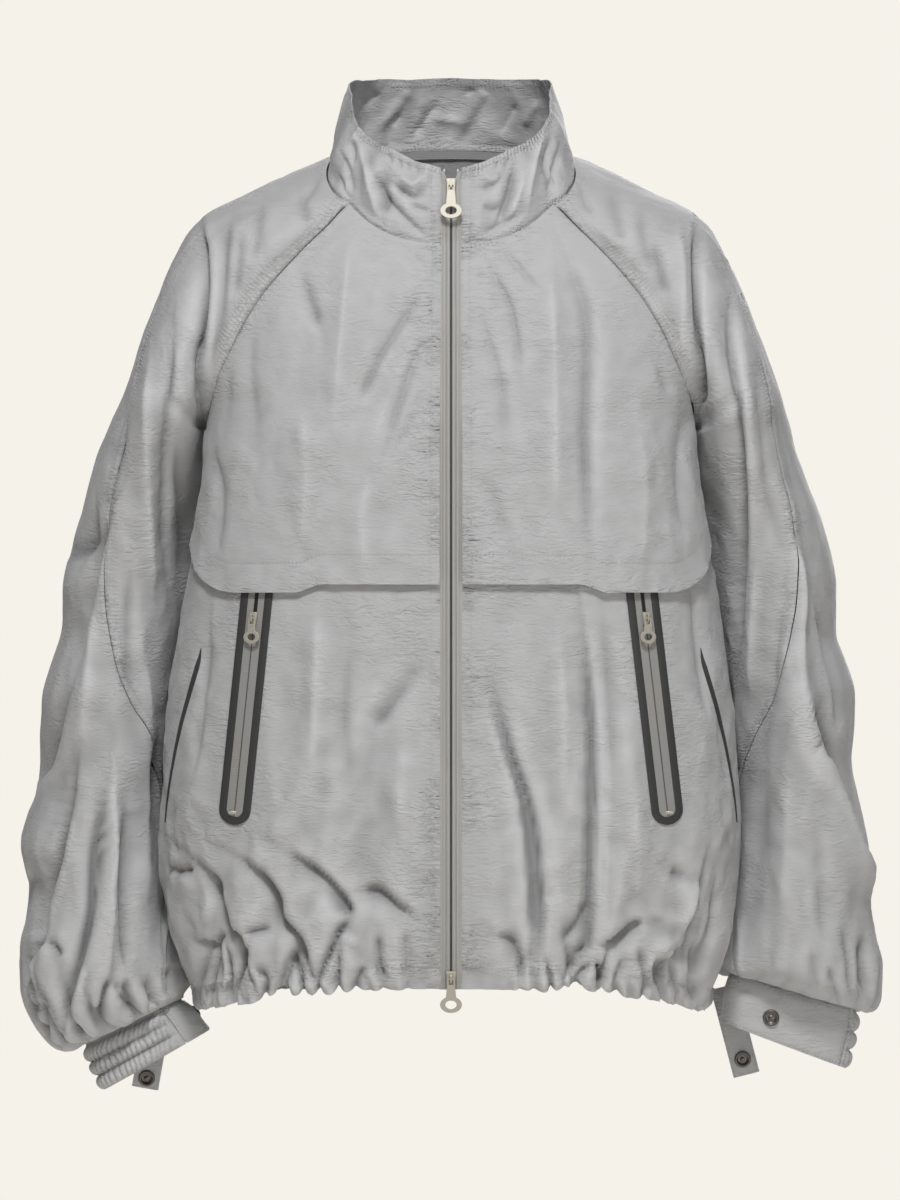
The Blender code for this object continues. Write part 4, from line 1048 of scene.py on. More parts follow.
HEM_RISE = 0.8  # how far the lower edge is drawn up at a gather, as a share of the gather's depth
HEM_PUFF = 0.0022
HEM_PLAIN = 0.035  # how far from the zip's middle the hem lies plain, and its gathers start
HEM_PLAIN_FADE = 0.03


def hem_place(from_angle, to_angle):
    """The place of each point of a piece of the hem, between two angles round the body."""

    def place(u, v, lift):
        angle = between(from_angle, to_angle, u)
        return body(angle, hem_z(angle) + HEM_BAND * (1 - v), lift)

    return place


def hem_relief(points, normals, us, vs):
    """Gathers between the creases, round the lower edge, and none beside the zip."""
    before = fold_height(seen(points), GATHER_FOLDS + LOWER_FOLDS)
    behind = fold_height(points[..., (0, 2)] * 1000, BACK_GATHER_FOLDS + BACK_FOLDS)
    heights = np.where(normals[..., 1] < 0, before, behind)
    turned = np.clip(np.abs(normals[..., 1]) * FACING, 0, 1)
    clear = np.clip((np.abs(points[..., 0]) - HEM_PLAIN) / HEM_PLAIN_FADE, 0, 1)
    puff = HEM_PUFF * np.sin(np.pi * 0.92 * vs[:, None] ** 1.6) * clear
    pinched = crumple(points, 0.012, 0.0080, 0.4) * clear * vs[:, None]
    return heights * turned + hanging(points) + puff + pinched


def draw_up(made):
    """Draws the lower edge up at each gather, so that it scallops."""
    co = np.zeros(len(made.data.vertices) * 3)
    made.data.vertices.foreach_get("co", co)
    co = co.reshape(-1, 3)
    before = fold_height(seen(co), GATHER_FOLDS)
    behind = fold_height(co[:, (0, 2)] * 1000, BACK_GATHER_FOLDS)
    depth = np.where(co[:, 1] < 0, before, behind)
    down = np.clip((HEM_BACK_Z + HEM_BAND - co[:, 2]) / HEM_BAND, 0, 1)
    co[:, 2] -= depth * HEM_RISE * down
    made.data.vertices.foreach_set("co", co.ravel())
    made.data.update()


zip_angle = beside_zip(HEM_CENTRE_Z).x
for name, node, angles, us, flat in (
    ("hem_cloth_back", "hem_back", (math.pi / 2, math.pi * 1.5), (0.001, 0.999, 421), (0.60, 0.022)),
    ("hem_cloth_right", "hem_front_right", (-zip_angle, -math.pi / 2), (-0.003, 0.999, 221), (0.31, 0.022)),
    ("hem_cloth_left", "hem_front_left", (zip_angle, math.pi / 2), (-0.003, 0.999, 221), (0.31, 0.022)),
):
    made = cloth(
        name, node, hem_place(*angles), us, (0, 1, 15), hem_relief, net=(24, 3), rows=(Row("v", 0, sunk=0.0),)
    )
    draw_up(made)


# Sleeves: raglan sleeves in two pieces, with the seam between them winding round the elbow. The
# lower piece is gathered into the cuff.

Cap = namedtuple("Cap", "outer_x outer_z half_depth")
CAP = metres(
    Cap,
    (101, 6, 72),
    (139, -10, 82),
    (171, -22, 88),
    (204, -37, 92),
    (222, -60, 94),
    (238.5, -98, 94),
    (255, -138, 93),
    (271, -183, 92),
)

# Sleeve sections below the armpit, down to the top of the cuff
Section = namedtuple("Section", "outer_x outer_z inner_x inner_z middle_y half_depth")
RIGHT_SLEEVE = metres(
    Section,
    (289, -228, 205, -245, 14, 93),
    (306, -283, 210.5, -292, 32, 94),
    (321, -336, 217, -340, 42, 95),
    (322.5, -378, 223.5, -385, 44, 95),
    (338, -428, 230, -433, 44, 96),
    (340.5, -482, 235, -485, 44, 97),
    (343, -512, 237, -530, 44, 98),
    (355.5, -550, 237.5, -565, 42, 98),
    (350, -592, 236.5, -600, 38, 96),
    (356.5, -636, 233, -630, 30, 92),
    (350, -684, 228, -656, 20, 78),
    (327, -712, 223.5, -670.5, 12, 54),
    (304, -718, 218.5, -676.5, 8, 32),
)
LEFT_SLEEVE = metres(
    Section,
    (283, -228, 205, -245, 14, 93),
    (304, -283, 210.5, -292, 32, 94),
    (317, -331, 217, -340, 42, 95),
    (318.5, -380, 223.5, -385, 44, 95),
    (333.5, -424, 230, -433, 44, 96),
    (331, -478, 235, -485, 44, 97),
    (337.5, -512, 237, -530, 44, 98),
    (346.5, -553, 237.5, -565, 42, 98),
    (344, -600, 236, -598, 38, 96),
    (352.5, -643, 233, -625, 30, 90),
    (351, -671, 228.5, -644, 20, 76),
    (345, -685.5, 227, -652, 12, 54),
    (337, -688.5, 226.5, -655.5, 8, 32),
)

# The seam between the two pieces of a sleeve: row, and degrees from the outer line
ELBOW_SEAM = (
    (0, 26), (4, 20), (5, 17), (6, 28), (7, 41), (8, 50), (9, 63), (10, 75), (11, 85), (12, 113),
    (13, 153), (14, 170), (17, 150), (20, 135),
)

SLEEVE_COLUMNS = 28
TONGUE_START_ROW = 5
TONGUE_END_ROW = 14

SLEEVE_FOLDS = folds(
    (10, 2, -22.5, -206, -40, -204, -85, -204, -130, -204, -179),
    (5.5, 1.5, -9, -203, -146, -201, -203, -200, -253),
    (7.5, 3.5, -6, -180, -35, -187, -64, -188, -130, -194, -187),
    (13, 4, -9, -229, -130, -232, -187, -230, -269, -229, -384),
    (6.5, 6.5, 6, -245, -130, -250, -203, -247, -285, -242, -367),
    (10, 3.5, -6, -255, -97, -262, -146, -273, -212, -278, -269),
    (6.5, 4, -4, -268, -203, -280, -253, -285, -282),
    (6.5, 4, -9, -294, -269, -301, -302, -321, -318),
    (15, 2.5, -18, -280, -285, -291, -315, -305, -389, -323, -443, -335, -486, -345, -508),
    (8, 6.5, 6, -290, -351, -298, -425, -311, -490),
    (13, 2.5, -16.5, -304, -466, -317, -526, -328, -570, -334, -592,
     -339, -617, -340, -629, -348, -646, -353, -667),
    (12.5, 2, -18, -279, -490, -285, -528, -287, -552, -291, -585,
     -297, -622, -303, -643, -309, -663, -314, -687, -319, -718),
    (10.5, 4, 12, -277, -497, -279, -552, -280, -592, -280, -659),
    (4, 6.5, -10.5, -268, -515, -270, -572, -268, -613, -265, -667),
    (8, 5.5, 6, -255, -384, -250, -433, -250, -507, -253, -572, -250, -638),
    (7.5, 3.5, -9, -240, -449, -242, -515, -239, -597, -235, -656),
    (2.5, 4, -10.5, -280, -658, -285, -676, -290, -699),
    (5, 2, -10.5, -268, -659, -262, -679, -255, -699),
    (4, 2, -9, -249, -656, -244, -679, -247, -692),
    (3.5, 2.5, -7.5, -235, -650, -232, -679),
    (3.5, 2.5, -9, -299, -682, -291, -697, -278, -707),
    (5.5, 2, -12, -339, -676, -334, -694, -327, -713),
    (4, 2.5, -9, -352, -646, -345, -671, -342, -699),
    (3.5, 2.5, -9, -312, -695, -301, -708, -291, -720),
    (4, 3.5, -7.5, -334, -609, -342, -631, -352, -638),
    (3.5, 2.5, -6, -337, -630, -327, -635, -322, -645),
    (4, 3.5, -7.5, -345, -571, -353, -597, -355, -617),
    (10, 5.5, -4, -155, -23, -163, -74),
    (9, 5, -4.5, -173, -44, -178, -105),
    (3.5, 2.5, -4.5, -125, -14, -121, -28, -116, -43),
    (3.5, 3.5, -4, -106, 0, -121, -23),
    (7.5, 5, -7.5, -224, -212, -217, -285, -219, -351),
    (7.5, 5, -6, -262, -318, -265, -384, -260, -433),
    (2.5, 8, -22.5, 201, -44, 203, -97, 202, -154, 198, -220),
    (8, 3.5, 4.5, 186, -35, 191, -97, 191, -171),
    (15, 2.5, -13, 229, -89, 235, -146, 238, -212, 238, -318, 235, -425),
    (11.5, 6.5, -4.5, 249, -130, 257, -203, 262, -269, 275, -318),
    (5.5, 3.5, 5, 212, -64, 209, -130, 204, -203),
    (10, 4, -4.5, 266, -187, 278, -228, 286, -269),
    (11.5, 4, 9, 278, -285, 286, -335, 285, -384, 291, -430, 304, -476),
    (2.5, 7.5, -7.5, 296, -351, 308, -392, 317, -425, 321, -466),
    (18, 3, 10.5, 285, -425, 298, -467, 317, -512, 332, -552, 345, -589, 353, -630),
    (2, 8, -12, 291, -425, 306, -467, 325, -512, 340, -552, 352, -587),
    (4, 2.5, -6, 291, -464, 303, -475, 314, -472),
    (15, 11.5, 4, 278, -482, 275, -556, 270, -622),
    (10, 7.5, -3, 255, -499, 252, -564, 247, -630),
    (11.5, 7.5, -4, 296, -515, 303, -581, 308, -646),
    (5, 3.5, -6, 324, -613, 329, -646, 330, -682),
    (6.5, 4, -4.5, 237, -515, 239, -581, 239, -646),
    (3.5, 3.5, -3, 296, -638, 300, -674),
    (3.5, 2.5, -4.5, 312, -650, 317, -686),
    (4, 2.5, -9, 339, -622, 342, -679),
    (4, 3.5, -2, 260, -634, 263, -667),
    (8, 5, -4, 155, -28, 166, -85),
    (8, 5, -3.5, 132, -11, 142, -59),
    (5, 3.5, -6, 167, -54, 178, -105),
    (3.5, 2.5, -4.5, 104, -3, 116, -34),
    (7.5, 5, -4, 275, -351, 266, -408, 260, -449),
    (6.5, 5, 6, 250, -318, 247, -384, 245, -433),
)

# Folds out of sight from the front: row of each end, angle from the outer line, width, height
Drape = namedtuple("Drape", "row0 angle0 row1 angle1 width height")
BACK_DRAPES = (
    Drape(3.0, -100, 7.5, -118, 14, -0.009),
    Drape(2.5, -60, 8.5, -78, 16, 0.005),
    Drape(8.0, -55, 13.0, -100, 11, -0.006),
    Drape(9.0, -25, 13.0, -60, 12, -0.007),
    Drape(11.0, -110, 14.5, -60, 9, 0.005),
    Drape(13.0, -20, 16.0, -75, 13, 0.006),
    Drape(14.0, -60, 18.5, -95, 12, -0.007),
    Drape(15.0, -130, 19.0, -110, 10, 0.005),
    Drape(15.0, -20, 19.0, -32, 9, -0.005),
    Drape(8.0, 150, 13.0, 172, 14, -0.005),
    Drape(12.0, -165, 16.0, -178, 14, -0.005),
    Drape(2.0, -168, 14.0, -165, 30, 0.016),
    Drape(13.0, 176, 24.5, 176, 26, 0.021),
)


def sleeve_section(side, row):
    """One section of a sleeve: its middle, the vectors to its outer and back points, its end angle."""
    tube = RIGHT_SLEEVE if side < 0 else LEFT_SLEEVE
    rows = range(CAP_ROWS + 1 + len(tube))
    outer_x = along(rows, column(CAP, "outer_x") + column(tube, "outer_x"), row)
    outer_z = along(rows, column(CAP, "outer_z") + column(tube, "outer_z"), row)
    half_depth = along(rows, column(CAP, "half_depth") + column(tube, "half_depth"), row)
    backwards = Vector((0.0, 1.0, 0.0))
    seam_depth = 0.0
    if row < CAP_ROWS:
        front = body(*raglan_point(row, True))
        back = body(*raglan_point(row, False))
        inner = (front + back) / 2
        seam_depth = (back - front).length / 2
        backwards = (back - front).normalized()
    else:
        knots = range(CAP_ROWS, CAP_ROWS + 1 + len(tube))
        inner = Vector((
            along(knots, [RAGLAN[-1].front_x] + column(tube, "inner_x"), row),
            along(knots, [0.0] + column(tube, "middle_y"), row),
            along(knots, [RAGLAN[-1].front_z] + column(tube, "inner_z"), row),
        ))
    half_depth = max(half_depth, seam_depth)
    end_angle = math.pi - math.asin(seam_depth / half_depth)
    outer = Vector((outer_x, inner.y, outer_z))
    outwards = (outer - inner) / (1 - math.cos(end_angle))
    return outer - outwards, outwards, backwards * half_depth, end_angle


def sleeve_angle(row, u, end_angle):
    """The angle round a section for u from 0, the front seam, to 1, the back seam."""
    knots = [knot for knot, _ in ELBOW_SEAM]
    seam = math.radians(along(knots, [degrees for _, degrees in ELBOW_SEAM], row))
    across = abs(u - 0.5) * 2
    if across > 0.5:
        angle = between(seam, end_angle, across * 2 - 1)
    else:
        angle = seam * across * 2
    return math.copysign(angle, 0.5 - u)


def sleeve(side, row, u, lift=0.0):
    """A point of a sleeve, this far outside its outer side. Rows run from the neck to the cuff."""
    middle, outwards, backwards, end_angle = sleeve_section(side, row)
    angle = sleeve_angle(row, u, end_angle)
    outwards = outwards * (1 + lift / outwards.length)
    backwards = backwards * (1 + lift / backwards.length)
    point = middle + outwards * math.cos(angle) - backwards * math.sin(angle)
    point.x *= side
    return point


SLEEVE_ROWS = CAP_ROWS + len(RIGHT_SLEEVE)
CUFF_PUFFS = 17
CUFF_PUFF = 0.0120  # height of a puff from the pinch beside it
BUNCH_ROW = 16.0  # where a sleeve begins to bunch above its cuff
BUNCH_ROWS = 3.8
SEAM_FADE = 6  # degrees from the raglan seam over which the folds rise
SEAM_LEVEL = 0.0045  # how far the sleeve is filled out beside that seam, so that it meets the yoke level
SEAM_LEVEL_REACH = 9  # degrees
SLEEVE_CRUMPLES = (Crumple(0.090, 0.0075, 0.24, 0.2), Crumple(0.026, 0.0022, 0.7, 0.3))
PLAIN_SIDE = {-1: (-154, 84), 1: (121, 89)}  # middle and half width in degrees of each plain cuff band
PLAIN_GATHERS = 0.18  # how strongly the sleeve is gathered there


def gathered(side, angles):
    """How strongly a sleeve is gathered at its cuff: fully on the elastic, and little on the band."""
    middle, half = PLAIN_SIDE[side]
    away = np.abs((angles - middle + 180) % 360 - 180) / half
    return between(PLAIN_GATHERS, 1, np.clip((away - 0.85) / 0.3, 0, 1))


def sleeve_relief(side):
    """Relief for a sleeve: its folds in front and out of sight, the bunch at its cuff, and crumples."""

    def relief(points, normals, us, vs):
        turned = np.clip(-normals[..., 1] * 2.2 + 0.25, 0, 1)
        heights = fold_height(seen(points), SLEEVE_FOLDS) * turned
        rows = vs * SLEEVE_ROWS
        angles = np.zeros(heights.shape)
        ends = np.zeros(len(rows))
        for j, row in enumerate(rows):
            _, _, _, end_angle = sleeve_section(side, row)
            ends[j] = math.degrees(end_angle)
            angles[j] = [math.degrees(sleeve_angle(row, u, end_angle)) for u in us]
        for drape in BACK_DRAPES:
            share = (rows - drape.row0) / (drape.row1 - drape.row0)
            centre = between(drape.angle0, drape.angle1, share)[:, None]
            distance = (angles - centre + 180) % 360 - 180
            fade = np.array([ease(s * 4) * ease((1 - s) * 4) for s in share])[:, None]
            heights += drape.height * np.exp(-np.abs(distance / drape.width) ** 1.6) * fade
        from_seam = ends[:, None] - np.abs(angles)
        fade = np.clip(from_seam / SEAM_FADE, 0, 1)
        at_cap = rows[:, None] < CAP_ROWS + 1
        heights *= np.where(at_cap, fade * fade * (3 - 2 * fade), 1)
        heights += np.where(at_cap, SEAM_LEVEL * np.exp(-(from_seam / SEAM_LEVEL_REACH) ** 2), 0)
        bunch = np.array([ease((row - BUNCH_ROW) / BUNCH_ROWS) for row in rows])[:, None]
        wander = rumple(points, 0.055, 1.3)
        wave = np.abs(np.sin(np.radians(angles) * CUFF_PUFFS / 2 + wander)) ** 0.55
        heights += bunch * gathered(side, angles) * CUFF_PUFF * (wave - 0.5)
        full = np.array([ease((row - 3) / 8) for row in rows])[:, None]
        full = full * between(0.3, 1, np.abs(normals[..., 1]))
        return heights + crumpled(points, SLEEVE_CRUMPLES, full) + rumple(points, 0.06, 0.0010)

    return relief


def split(*runs):
    """Places in several runs, each a start, a stop and a count, with a gap where pieces meet."""
    return np.concatenate([np.linspace(*run) for run in runs])


SLEEVE_TUCK = 0.012  # in u: how far a sleeve's edges reach in under the body's
TUCK_START = 0.46  # in u, from the middle: where the sleeve starts to dip under the body
TUCK_DEPTH = 0.0008  # in metres: how far it dips
ELBOW_GAP = 0.0008  # in u: how far each piece stops short of the seam between the two
TONGUE_GAP = 0.0005  # in v: how far each piece stops short of the ends of that seam
FRONT_ELBOW, BACK_ELBOW = 0.25, 0.75  # in u: the seam between the two pieces
sleeve_net = (SLEEVE_COLUMNS, 2 * SLEEVE_ROWS)
tongue_top = TONGUE_START_ROW / SLEEVE_ROWS
tongue_end = TONGUE_END_ROW / SLEEVE_ROWS
raglan_end = CAP_ROWS / SLEEVE_ROWS
for side, word in SIDES:
    def place(u, v, lift):
        tuck = max(abs(u - 0.5) - TUCK_START, 0) / (0.5 - TUCK_START)
        reached = u + math.copysign(tuck * SLEEVE_TUCK, u - 0.5)
        return sleeve(side, v * SLEEVE_ROWS, reached, lift - tuck * TUCK_DEPTH)

    made = cloth(
        "sleeve_upper_cloth_" + word, "sleeve_upper_" + word, place,
        split(
            (0.002, FRONT_ELBOW - ELBOW_GAP, 46), (FRONT_ELBOW + ELBOW_GAP, BACK_ELBOW - ELBOW_GAP, 60),
            (BACK_ELBOW + ELBOW_GAP, 0.998, 34),
        ),
        split((0.001, tongue_top - TONGUE_GAP, 60), (tongue_top + TONGUE_GAP, tongue_end - TONGUE_GAP, 110)),
        sleeve_relief(side), net=sleeve_net,
        keep=lambda u, v: v < tongue_top or not FRONT_ELBOW - ELBOW_GAP < u < BACK_ELBOW + ELBOW_GAP,
        rows=(
            Row("u", 0.002, 0.0075, 0.0025, 0.010, end=raglan_end), Row("u", 0.002, 0.0130, end=raglan_end),
            Row("u", 0.998, -0.0075, 0.0025, 0.010, end=raglan_end), Row("u", 0.998, -0.0130, end=raglan_end),
            Row("u", FRONT_ELBOW - ELBOW_GAP, -0.008, start=tongue_top),
            Row("u", BACK_ELBOW + ELBOW_GAP, 0.008, start=tongue_top),
            Row("v", 0.001, flat=0.010),
        ),
    )
    made = cloth(
        "sleeve_lower_cloth_" + word, "sleeve_lower_" + word, place,
        split(
            (0.002, FRONT_ELBOW - ELBOW_GAP, 50), (FRONT_ELBOW + ELBOW_GAP, 0.5, 66),
            (0.506, BACK_ELBOW - ELBOW_GAP, 50), (BACK_ELBOW + ELBOW_GAP, 0.998, 40),
        ),
        split((tongue_top + TONGUE_GAP, tongue_end - TONGUE_GAP, 76), (tongue_end + TONGUE_GAP, 0.999, 84)),
        sleeve_relief(side), net=sleeve_net, keep=lambda u, v: v > tongue_end or FRONT_ELBOW < u < BACK_ELBOW,
        rows=(
            Row("u", FRONT_ELBOW + ELBOW_GAP, start=tongue_top, end=tongue_end),
            Row("u", BACK_ELBOW - ELBOW_GAP, start=tongue_top, end=tongue_end),
            Row("v", 0.999, flat=0.007, crinkle=0.02),
        ),
    )


# Cuffs: part of each is shirred on elastic in three channels, and the rest is a plain band. An open
# strap hangs behind each cuff.

Cuff = namedtuple("Cuff", "outer_top inner_top outer_bottom inner_bottom elastic_from elastic_to")
CUFFS = {
    -1: Cuff((0.3030, -0.7190), (0.2180, -0.6775), (0.2860, -0.7535), (0.1975, -0.7030), -70, 122),
    1: Cuff((0.3360, -0.6900), (0.2260, -0.6570), (0.3255, -0.7355), (0.2215, -0.6965), -150, 32),
}

CUFF_MIDDLE_Y = 0.008
CUFF_HALF_DEPTH = 0.028
CUFF_POWER = 0.85  # 1 would be an ellipse; less is squarer
STRAP_WIDTH = 0.022
STRAP_THICKNESS = 0.0016
STRAP_BOW = 0.004  # how far the strap bows forward
STRAP_BOW_TURN = 2.5  # radians of the wave that the strap follows
STRAP_SNAP_SHARE = 0.82  # how far down the strap its snap lies

Strap = namedtuple("Strap", "top bottom y")
STRAPS = {
    -1: Strap((-0.2440, -0.7060), (-0.2525, -0.7540), 0.0440),
    1: Strap((0.2250, -0.6700), (0.2440, -0.7430), 0.0460),
}


def strap_y(strap, v):
    """How far back the strap's outer side lies, this far down."""
    return strap.y - STRAP_BOW * math.sin(v * STRAP_BOW_TURN)


def cuff_point(cuff, side, degrees, v, lift=0.0):
    """A point of a cuff, this far outside it. Angles run from its outer end, over its front."""
    outer_x, outer_z = between(Vector(cuff.outer_top), Vector(cuff.outer_bottom), v)
    inner_x, inner_z = between(Vector(cuff.inner_top), Vector(cuff.inner_bottom), v)
    sine, cosine = math.sin(math.radians(degrees)), math.cos(math.radians(degrees))
    across = math.copysign(abs(cosine) ** CUFF_POWER, cosine)
    deep = math.copysign(abs(sine) ** CUFF_POWER, sine)
    wider = 1 + 2 * lift / math.hypot(outer_x - inner_x, outer_z - inner_z)
    x = between(inner_x, outer_x, 0.5 + across / 2 * wider)
    z = between(inner_z, outer_z, 0.5 + across / 2 * wider)
    return Vector((x * side, CUFF_MIDDLE_Y - (CUFF_HALF_DEPTH + lift) * deep, z))


ELASTIC_PITCH = 0.0048  # metres from rib to rib of the cloth on its elastic
ELASTIC_SUNK = 0.0028  # how far the hollows between its puffs lie in from the band's outer side
CHANNEL_PUFF = 0.0016
RIB_PUFF = 0.0034


def elastic_relief(points, normals, us, vs):
    """Three puffed channels between stitch lines, crossed by fine uneven ribs."""
    down = np.clip((vs[:, None] - CUFF_TUCK) / (1 - CUFF_TUCK), 0, 1)
    channels = np.abs(np.sin(3 * np.pi * down)) ** 0.6
    run = steps(points, 1)
    ribs = np.abs(np.sin(np.pi * (run / ELASTIC_PITCH + 0.9 * down) + rumple(points, 0.02, 1.6))) ** 0.4
    return -ELASTIC_SUNK + CHANNEL_PUFF * channels + RIB_PUFF * ribs * (0.3 + 0.7 * channels)


def band_relief(points, normals, us, vs):
    """The slight unevenness of a stiffened band."""
    return rumple(points, 0.03, 0.0008) + crumple(points, 0.02, 0.0005)


def band_row(axis, at, offset, flat=0.0):
    """A row of stitches on a band, which hardly puckers it."""
    return Row(axis, at, offset, flat, 0.003, pucker=0.3)


CUFF_TUCK = 0.10  # how far a cuff's top edge reaches up inside the sleeve, as a share of its height
CUFF_TUCK_LEAN = 0.03  # in metres: how far an edge as high as the whole cuff would lean in


def cuff_place(cuff, side, start, stop):
    """The place of each point of a part of a cuff, whose seam allowance leans in above its top edge."""

    def place(u, v, lift):
        down = v * (1 + CUFF_TUCK) - CUFF_TUCK
        lean = min(down, 0) * CUFF_TUCK_LEAN
        return cuff_point(cuff, side, between(start, stop, u), down, lift + lean)

    return place


for side, word in SIDES:
    cuff = CUFFS[side]
    made = cloth(
        "cuff_elastic_cloth_" + word, "cuff_elastic_" + word,
        cuff_place(cuff, side, cuff.elastic_from, cuff.elastic_to),
        (0.003, 0.997, 251), (0, 1, 28), elastic_relief, net=(24, 3),
        rows=(
            Row("v", 0.40, 0.0001), Row("v", 0.70, 0.0001), Row("u", 0.003, flat=0.006),
            Row("u", 0.997, flat=0.006),
        ),
    )
    made = cloth(
        "cuff_band_cloth_" + word, "cuff_band_" + word,
        cuff_place(cuff, side, cuff.elastic_to, cuff.elastic_from + 360),
        (0.003, 0.997, 101), (0, 1, 25), band_relief, net=(24, 3),
        rows=(
            band_row("v", 0.10, 0.0022), band_row("v", 1, -0.0022),
            band_row("u", 0.003, 0.0022, 0.006), band_row("u", 0.997, -0.0022, 0.006),
        ),
    )
    strap = STRAPS[side]
    top, bottom = Vector(strap.top), Vector(strap.bottom)
    down = (bottom - top).normalized()
    across = Vector((-down.y, down.x)) * STRAP_WIDTH / 2

    def strap_place(u, v, lift):
        at = between(top, bottom, v) + across * (2 * u - 1)
        return Vector((at.x, strap_y(strap, v) - lift, at.y))

    made = cloth(
        "strap_cloth_" + word, "cuff_strap_" + word, strap_place, (0, 1, 25), (0, 1, 57), band_relief,
        net=(2, 12), thick=STRAP_THICKNESS,
        rows=(band_row("u", 0, 0.002), band_row("u", 1, -0.002), band_row("v", 1, -0.002)),
    )


# Collar: a stand of nylon on the neck seam, softly creased where it turns.

COLLAR_TOP_HALF_WIDTH = 0.0845
COLLAR_TOP_FRONT = 0.088
COLLAR_TOP_BACK = 0.074
COLLAR_POWER = 2.3
COLLAR_BULGE = 0.003
COLLAR_FRONT_COLUMNS = 5
COLLAR_BACK_COLUMNS = 4
SHOULDER_COLUMNS = (0, 2, 4, 7, 21, 24, 26, 28)

# The collar's top edge: degrees from the front centre line, and height
COLLAR_TOP = (
    (0, -0.0020), (10, 0.0010), (22, 0.0085), (34, 0.0160), (49, 0.0245), (57, 0.0320),
    (68, 0.0425), (80, 0.0580), (95, 0.0700), (120, 0.0775), (180, 0.0815),
)

COLLAR_FOLDS = folds(
    (3.5, 2.5, 4.5, -77, 26, -71, 5, -67, -7, -62, -29, -61, -39),
    (3.5, 2.5, -4.5, -81, 26, -80, 18, -81, 5),
    (3.5, 5.5, -8.5, -65, 0, -58, -13, -55, -25, -60, -36),
    (3.5, 2.5, -5, -57, -14, -50, -25, -35, -40, -19, -55),
    (3, 2.5, -6, -50, -8, -40, -15, -30, -20, -19, -10),
    (2.5, 2.5, 4, -42, -3, -32, -11, -20, -2),
    (3.5, 2.5, -4.5, -34, -25, -26, -30, -17, -32),
    (3.5, 2.5, -4, -91, 18, -84, 0, -81, -20),
    (3.5, 2.5, -4, -94, 0, -88, -15, -80, -26),
    (2.5, 2, 3, -19, 8, -20, -15),
    (2, 2, -2.5, -52, 16, -48, 7),
    (2, 2, -2.5, -43, 12, -41, 2),
    (2, 2, -2.5, -36, 10, -34, 1),
    (2, 2, -2.5, -29, 7, -27, -2),
    (2.5, 3.5, 4.5, 77, 36, 69, 10, 63, -15, 62, -35),
    (3.5, 3.5, -4.5, 83, 30, 78, 10, 81, -7),
    (3.5, 3.5, -4.5, 91, 26, 86, 2, 80, -20),
    (4, 4, -8, 53, 10, 50, -11, 45, -27, 37, -46),
    (3.5, 3.5, 4.5, 60, -3, 53, -23, 47, -41),
    (3.5, 3.5, -5, 44, 0, 35, -10, 24, -15),
    (2.5, 2.5, 4, 25, 0, 34, -7, 42, -3),
    (3.5, 3.5, -5, 57, -34, 40, -44, 27, -52),
    (2.5, 3.5, -4.5, 25, -27, 34, -31, 40, -28),
    (2, 2.5, 3, 20, 8, 21, -15),
    (2, 2, -2.5, 39, 10, 37, 2),
    (2, 2, -2.5, 47, 12, 45, 3),
)

COLLAR_BACK_FOLDS = folds(
    (4, 4, 4, -65, 28, -43, 56, -34, 69),
    (4, 3.5, -4, -34, 25, -9, 59),
    (4, 3.5, 4, 1, 23, 22, 56, 29, 67),
    (4, 3.5, -4, 40, 28, 57, 59),
    (3.5, 3.5, -3.5, -73, 51, -58, 66),
    (3.5, 3.5, 3, -17, 44, 16, 39),
    (3.5, 3.5, 3.5, 61, 36, 73, 59),
    (3.5, 2.5, 3, -25, 33, -22, 62),
    (2.5, 2.5, -3, -48, 36, -42, 49),
    (2.5, 2.5, -3, 12, 62, 19, 69),
)


def collar_base(step):
    """The neck seam at +X, counted in the collar's columns from the zip to the back centre."""
    if step <= COLLAR_FRONT_COLUMNS:
        return body(*neck_seam_front(step / COLLAR_FRONT_COLUMNS))
    step -= COLLAR_FRONT_COLUMNS
    last = len(SHOULDER_COLUMNS) - 1
    if step <= last:
        return sleeve(1, 0, along(range(last + 1), SHOULDER_COLUMNS, step) / SLEEVE_COLUMNS)
    return body(*neck_seam_back((step - last) / COLLAR_BACK_COLUMNS / 2))


def collar_top(angle):
    """A point of the collar's top edge at +X."""
    knots = [knot for knot, _ in COLLAR_TOP]
    z = along(knots, [height for _, height in COLLAR_TOP], math.degrees(angle))
    sine, cosine = math.sin(angle), math.cos(angle)
    depth = COLLAR_TOP_FRONT if cosine > 0 else COLLAR_TOP_BACK
    x = COLLAR_TOP_HALF_WIDTH * abs(sine) ** (2 / COLLAR_POWER)
    y = -depth * math.copysign(abs(cosine) ** (2 / COLLAR_POWER), cosine)
    return Vector((x, y, z))


COLLAR_HALF = COLLAR_FRONT_COLUMNS + len(SHOULDER_COLUMNS) - 1 + COLLAR_BACK_COLUMNS
COLLAR_TUCK = 0.06  # how far its lower edge reaches in behind the neck seam, as a share of its height
COLLAR_TUCK_DEPTH = 0.0016


def collar_place(u, v, lift):
    """The place of each point of the collar, from the zip round the neck and back to it."""
    v *= 1 + COLLAR_TUCK
    lift -= COLLAR_TUCK_DEPTH * max(v - 1, 0) / COLLAR_TUCK
    side = -1 if u < 0.5 else 1
    step = COLLAR_HALF * (1 - abs(2 * u - 1))
    base = collar_base(step)
    start = math.asin((ZIP_HALF_WIDTH / COLLAR_TOP_HALF_WIDTH) ** (COLLAR_POWER / 2))
    plan = Vector((base.x, base.y, 0.0))
    angle = max(start, math.atan2(base.x, -base.y))
    if step == COLLAR_HALF:
        angle = math.pi
    top = collar_top(angle)
    if step == 0:
        top.x = ZIP_HALF_WIDTH
    lift += COLLAR_BULGE * math.sin(math.pi * min(v, 1))
    point = between(top, base, v) + plan.normalized() * lift
    point.x *= side
    if step == COLLAR_HALF:
        point.x = 0.0
    return point


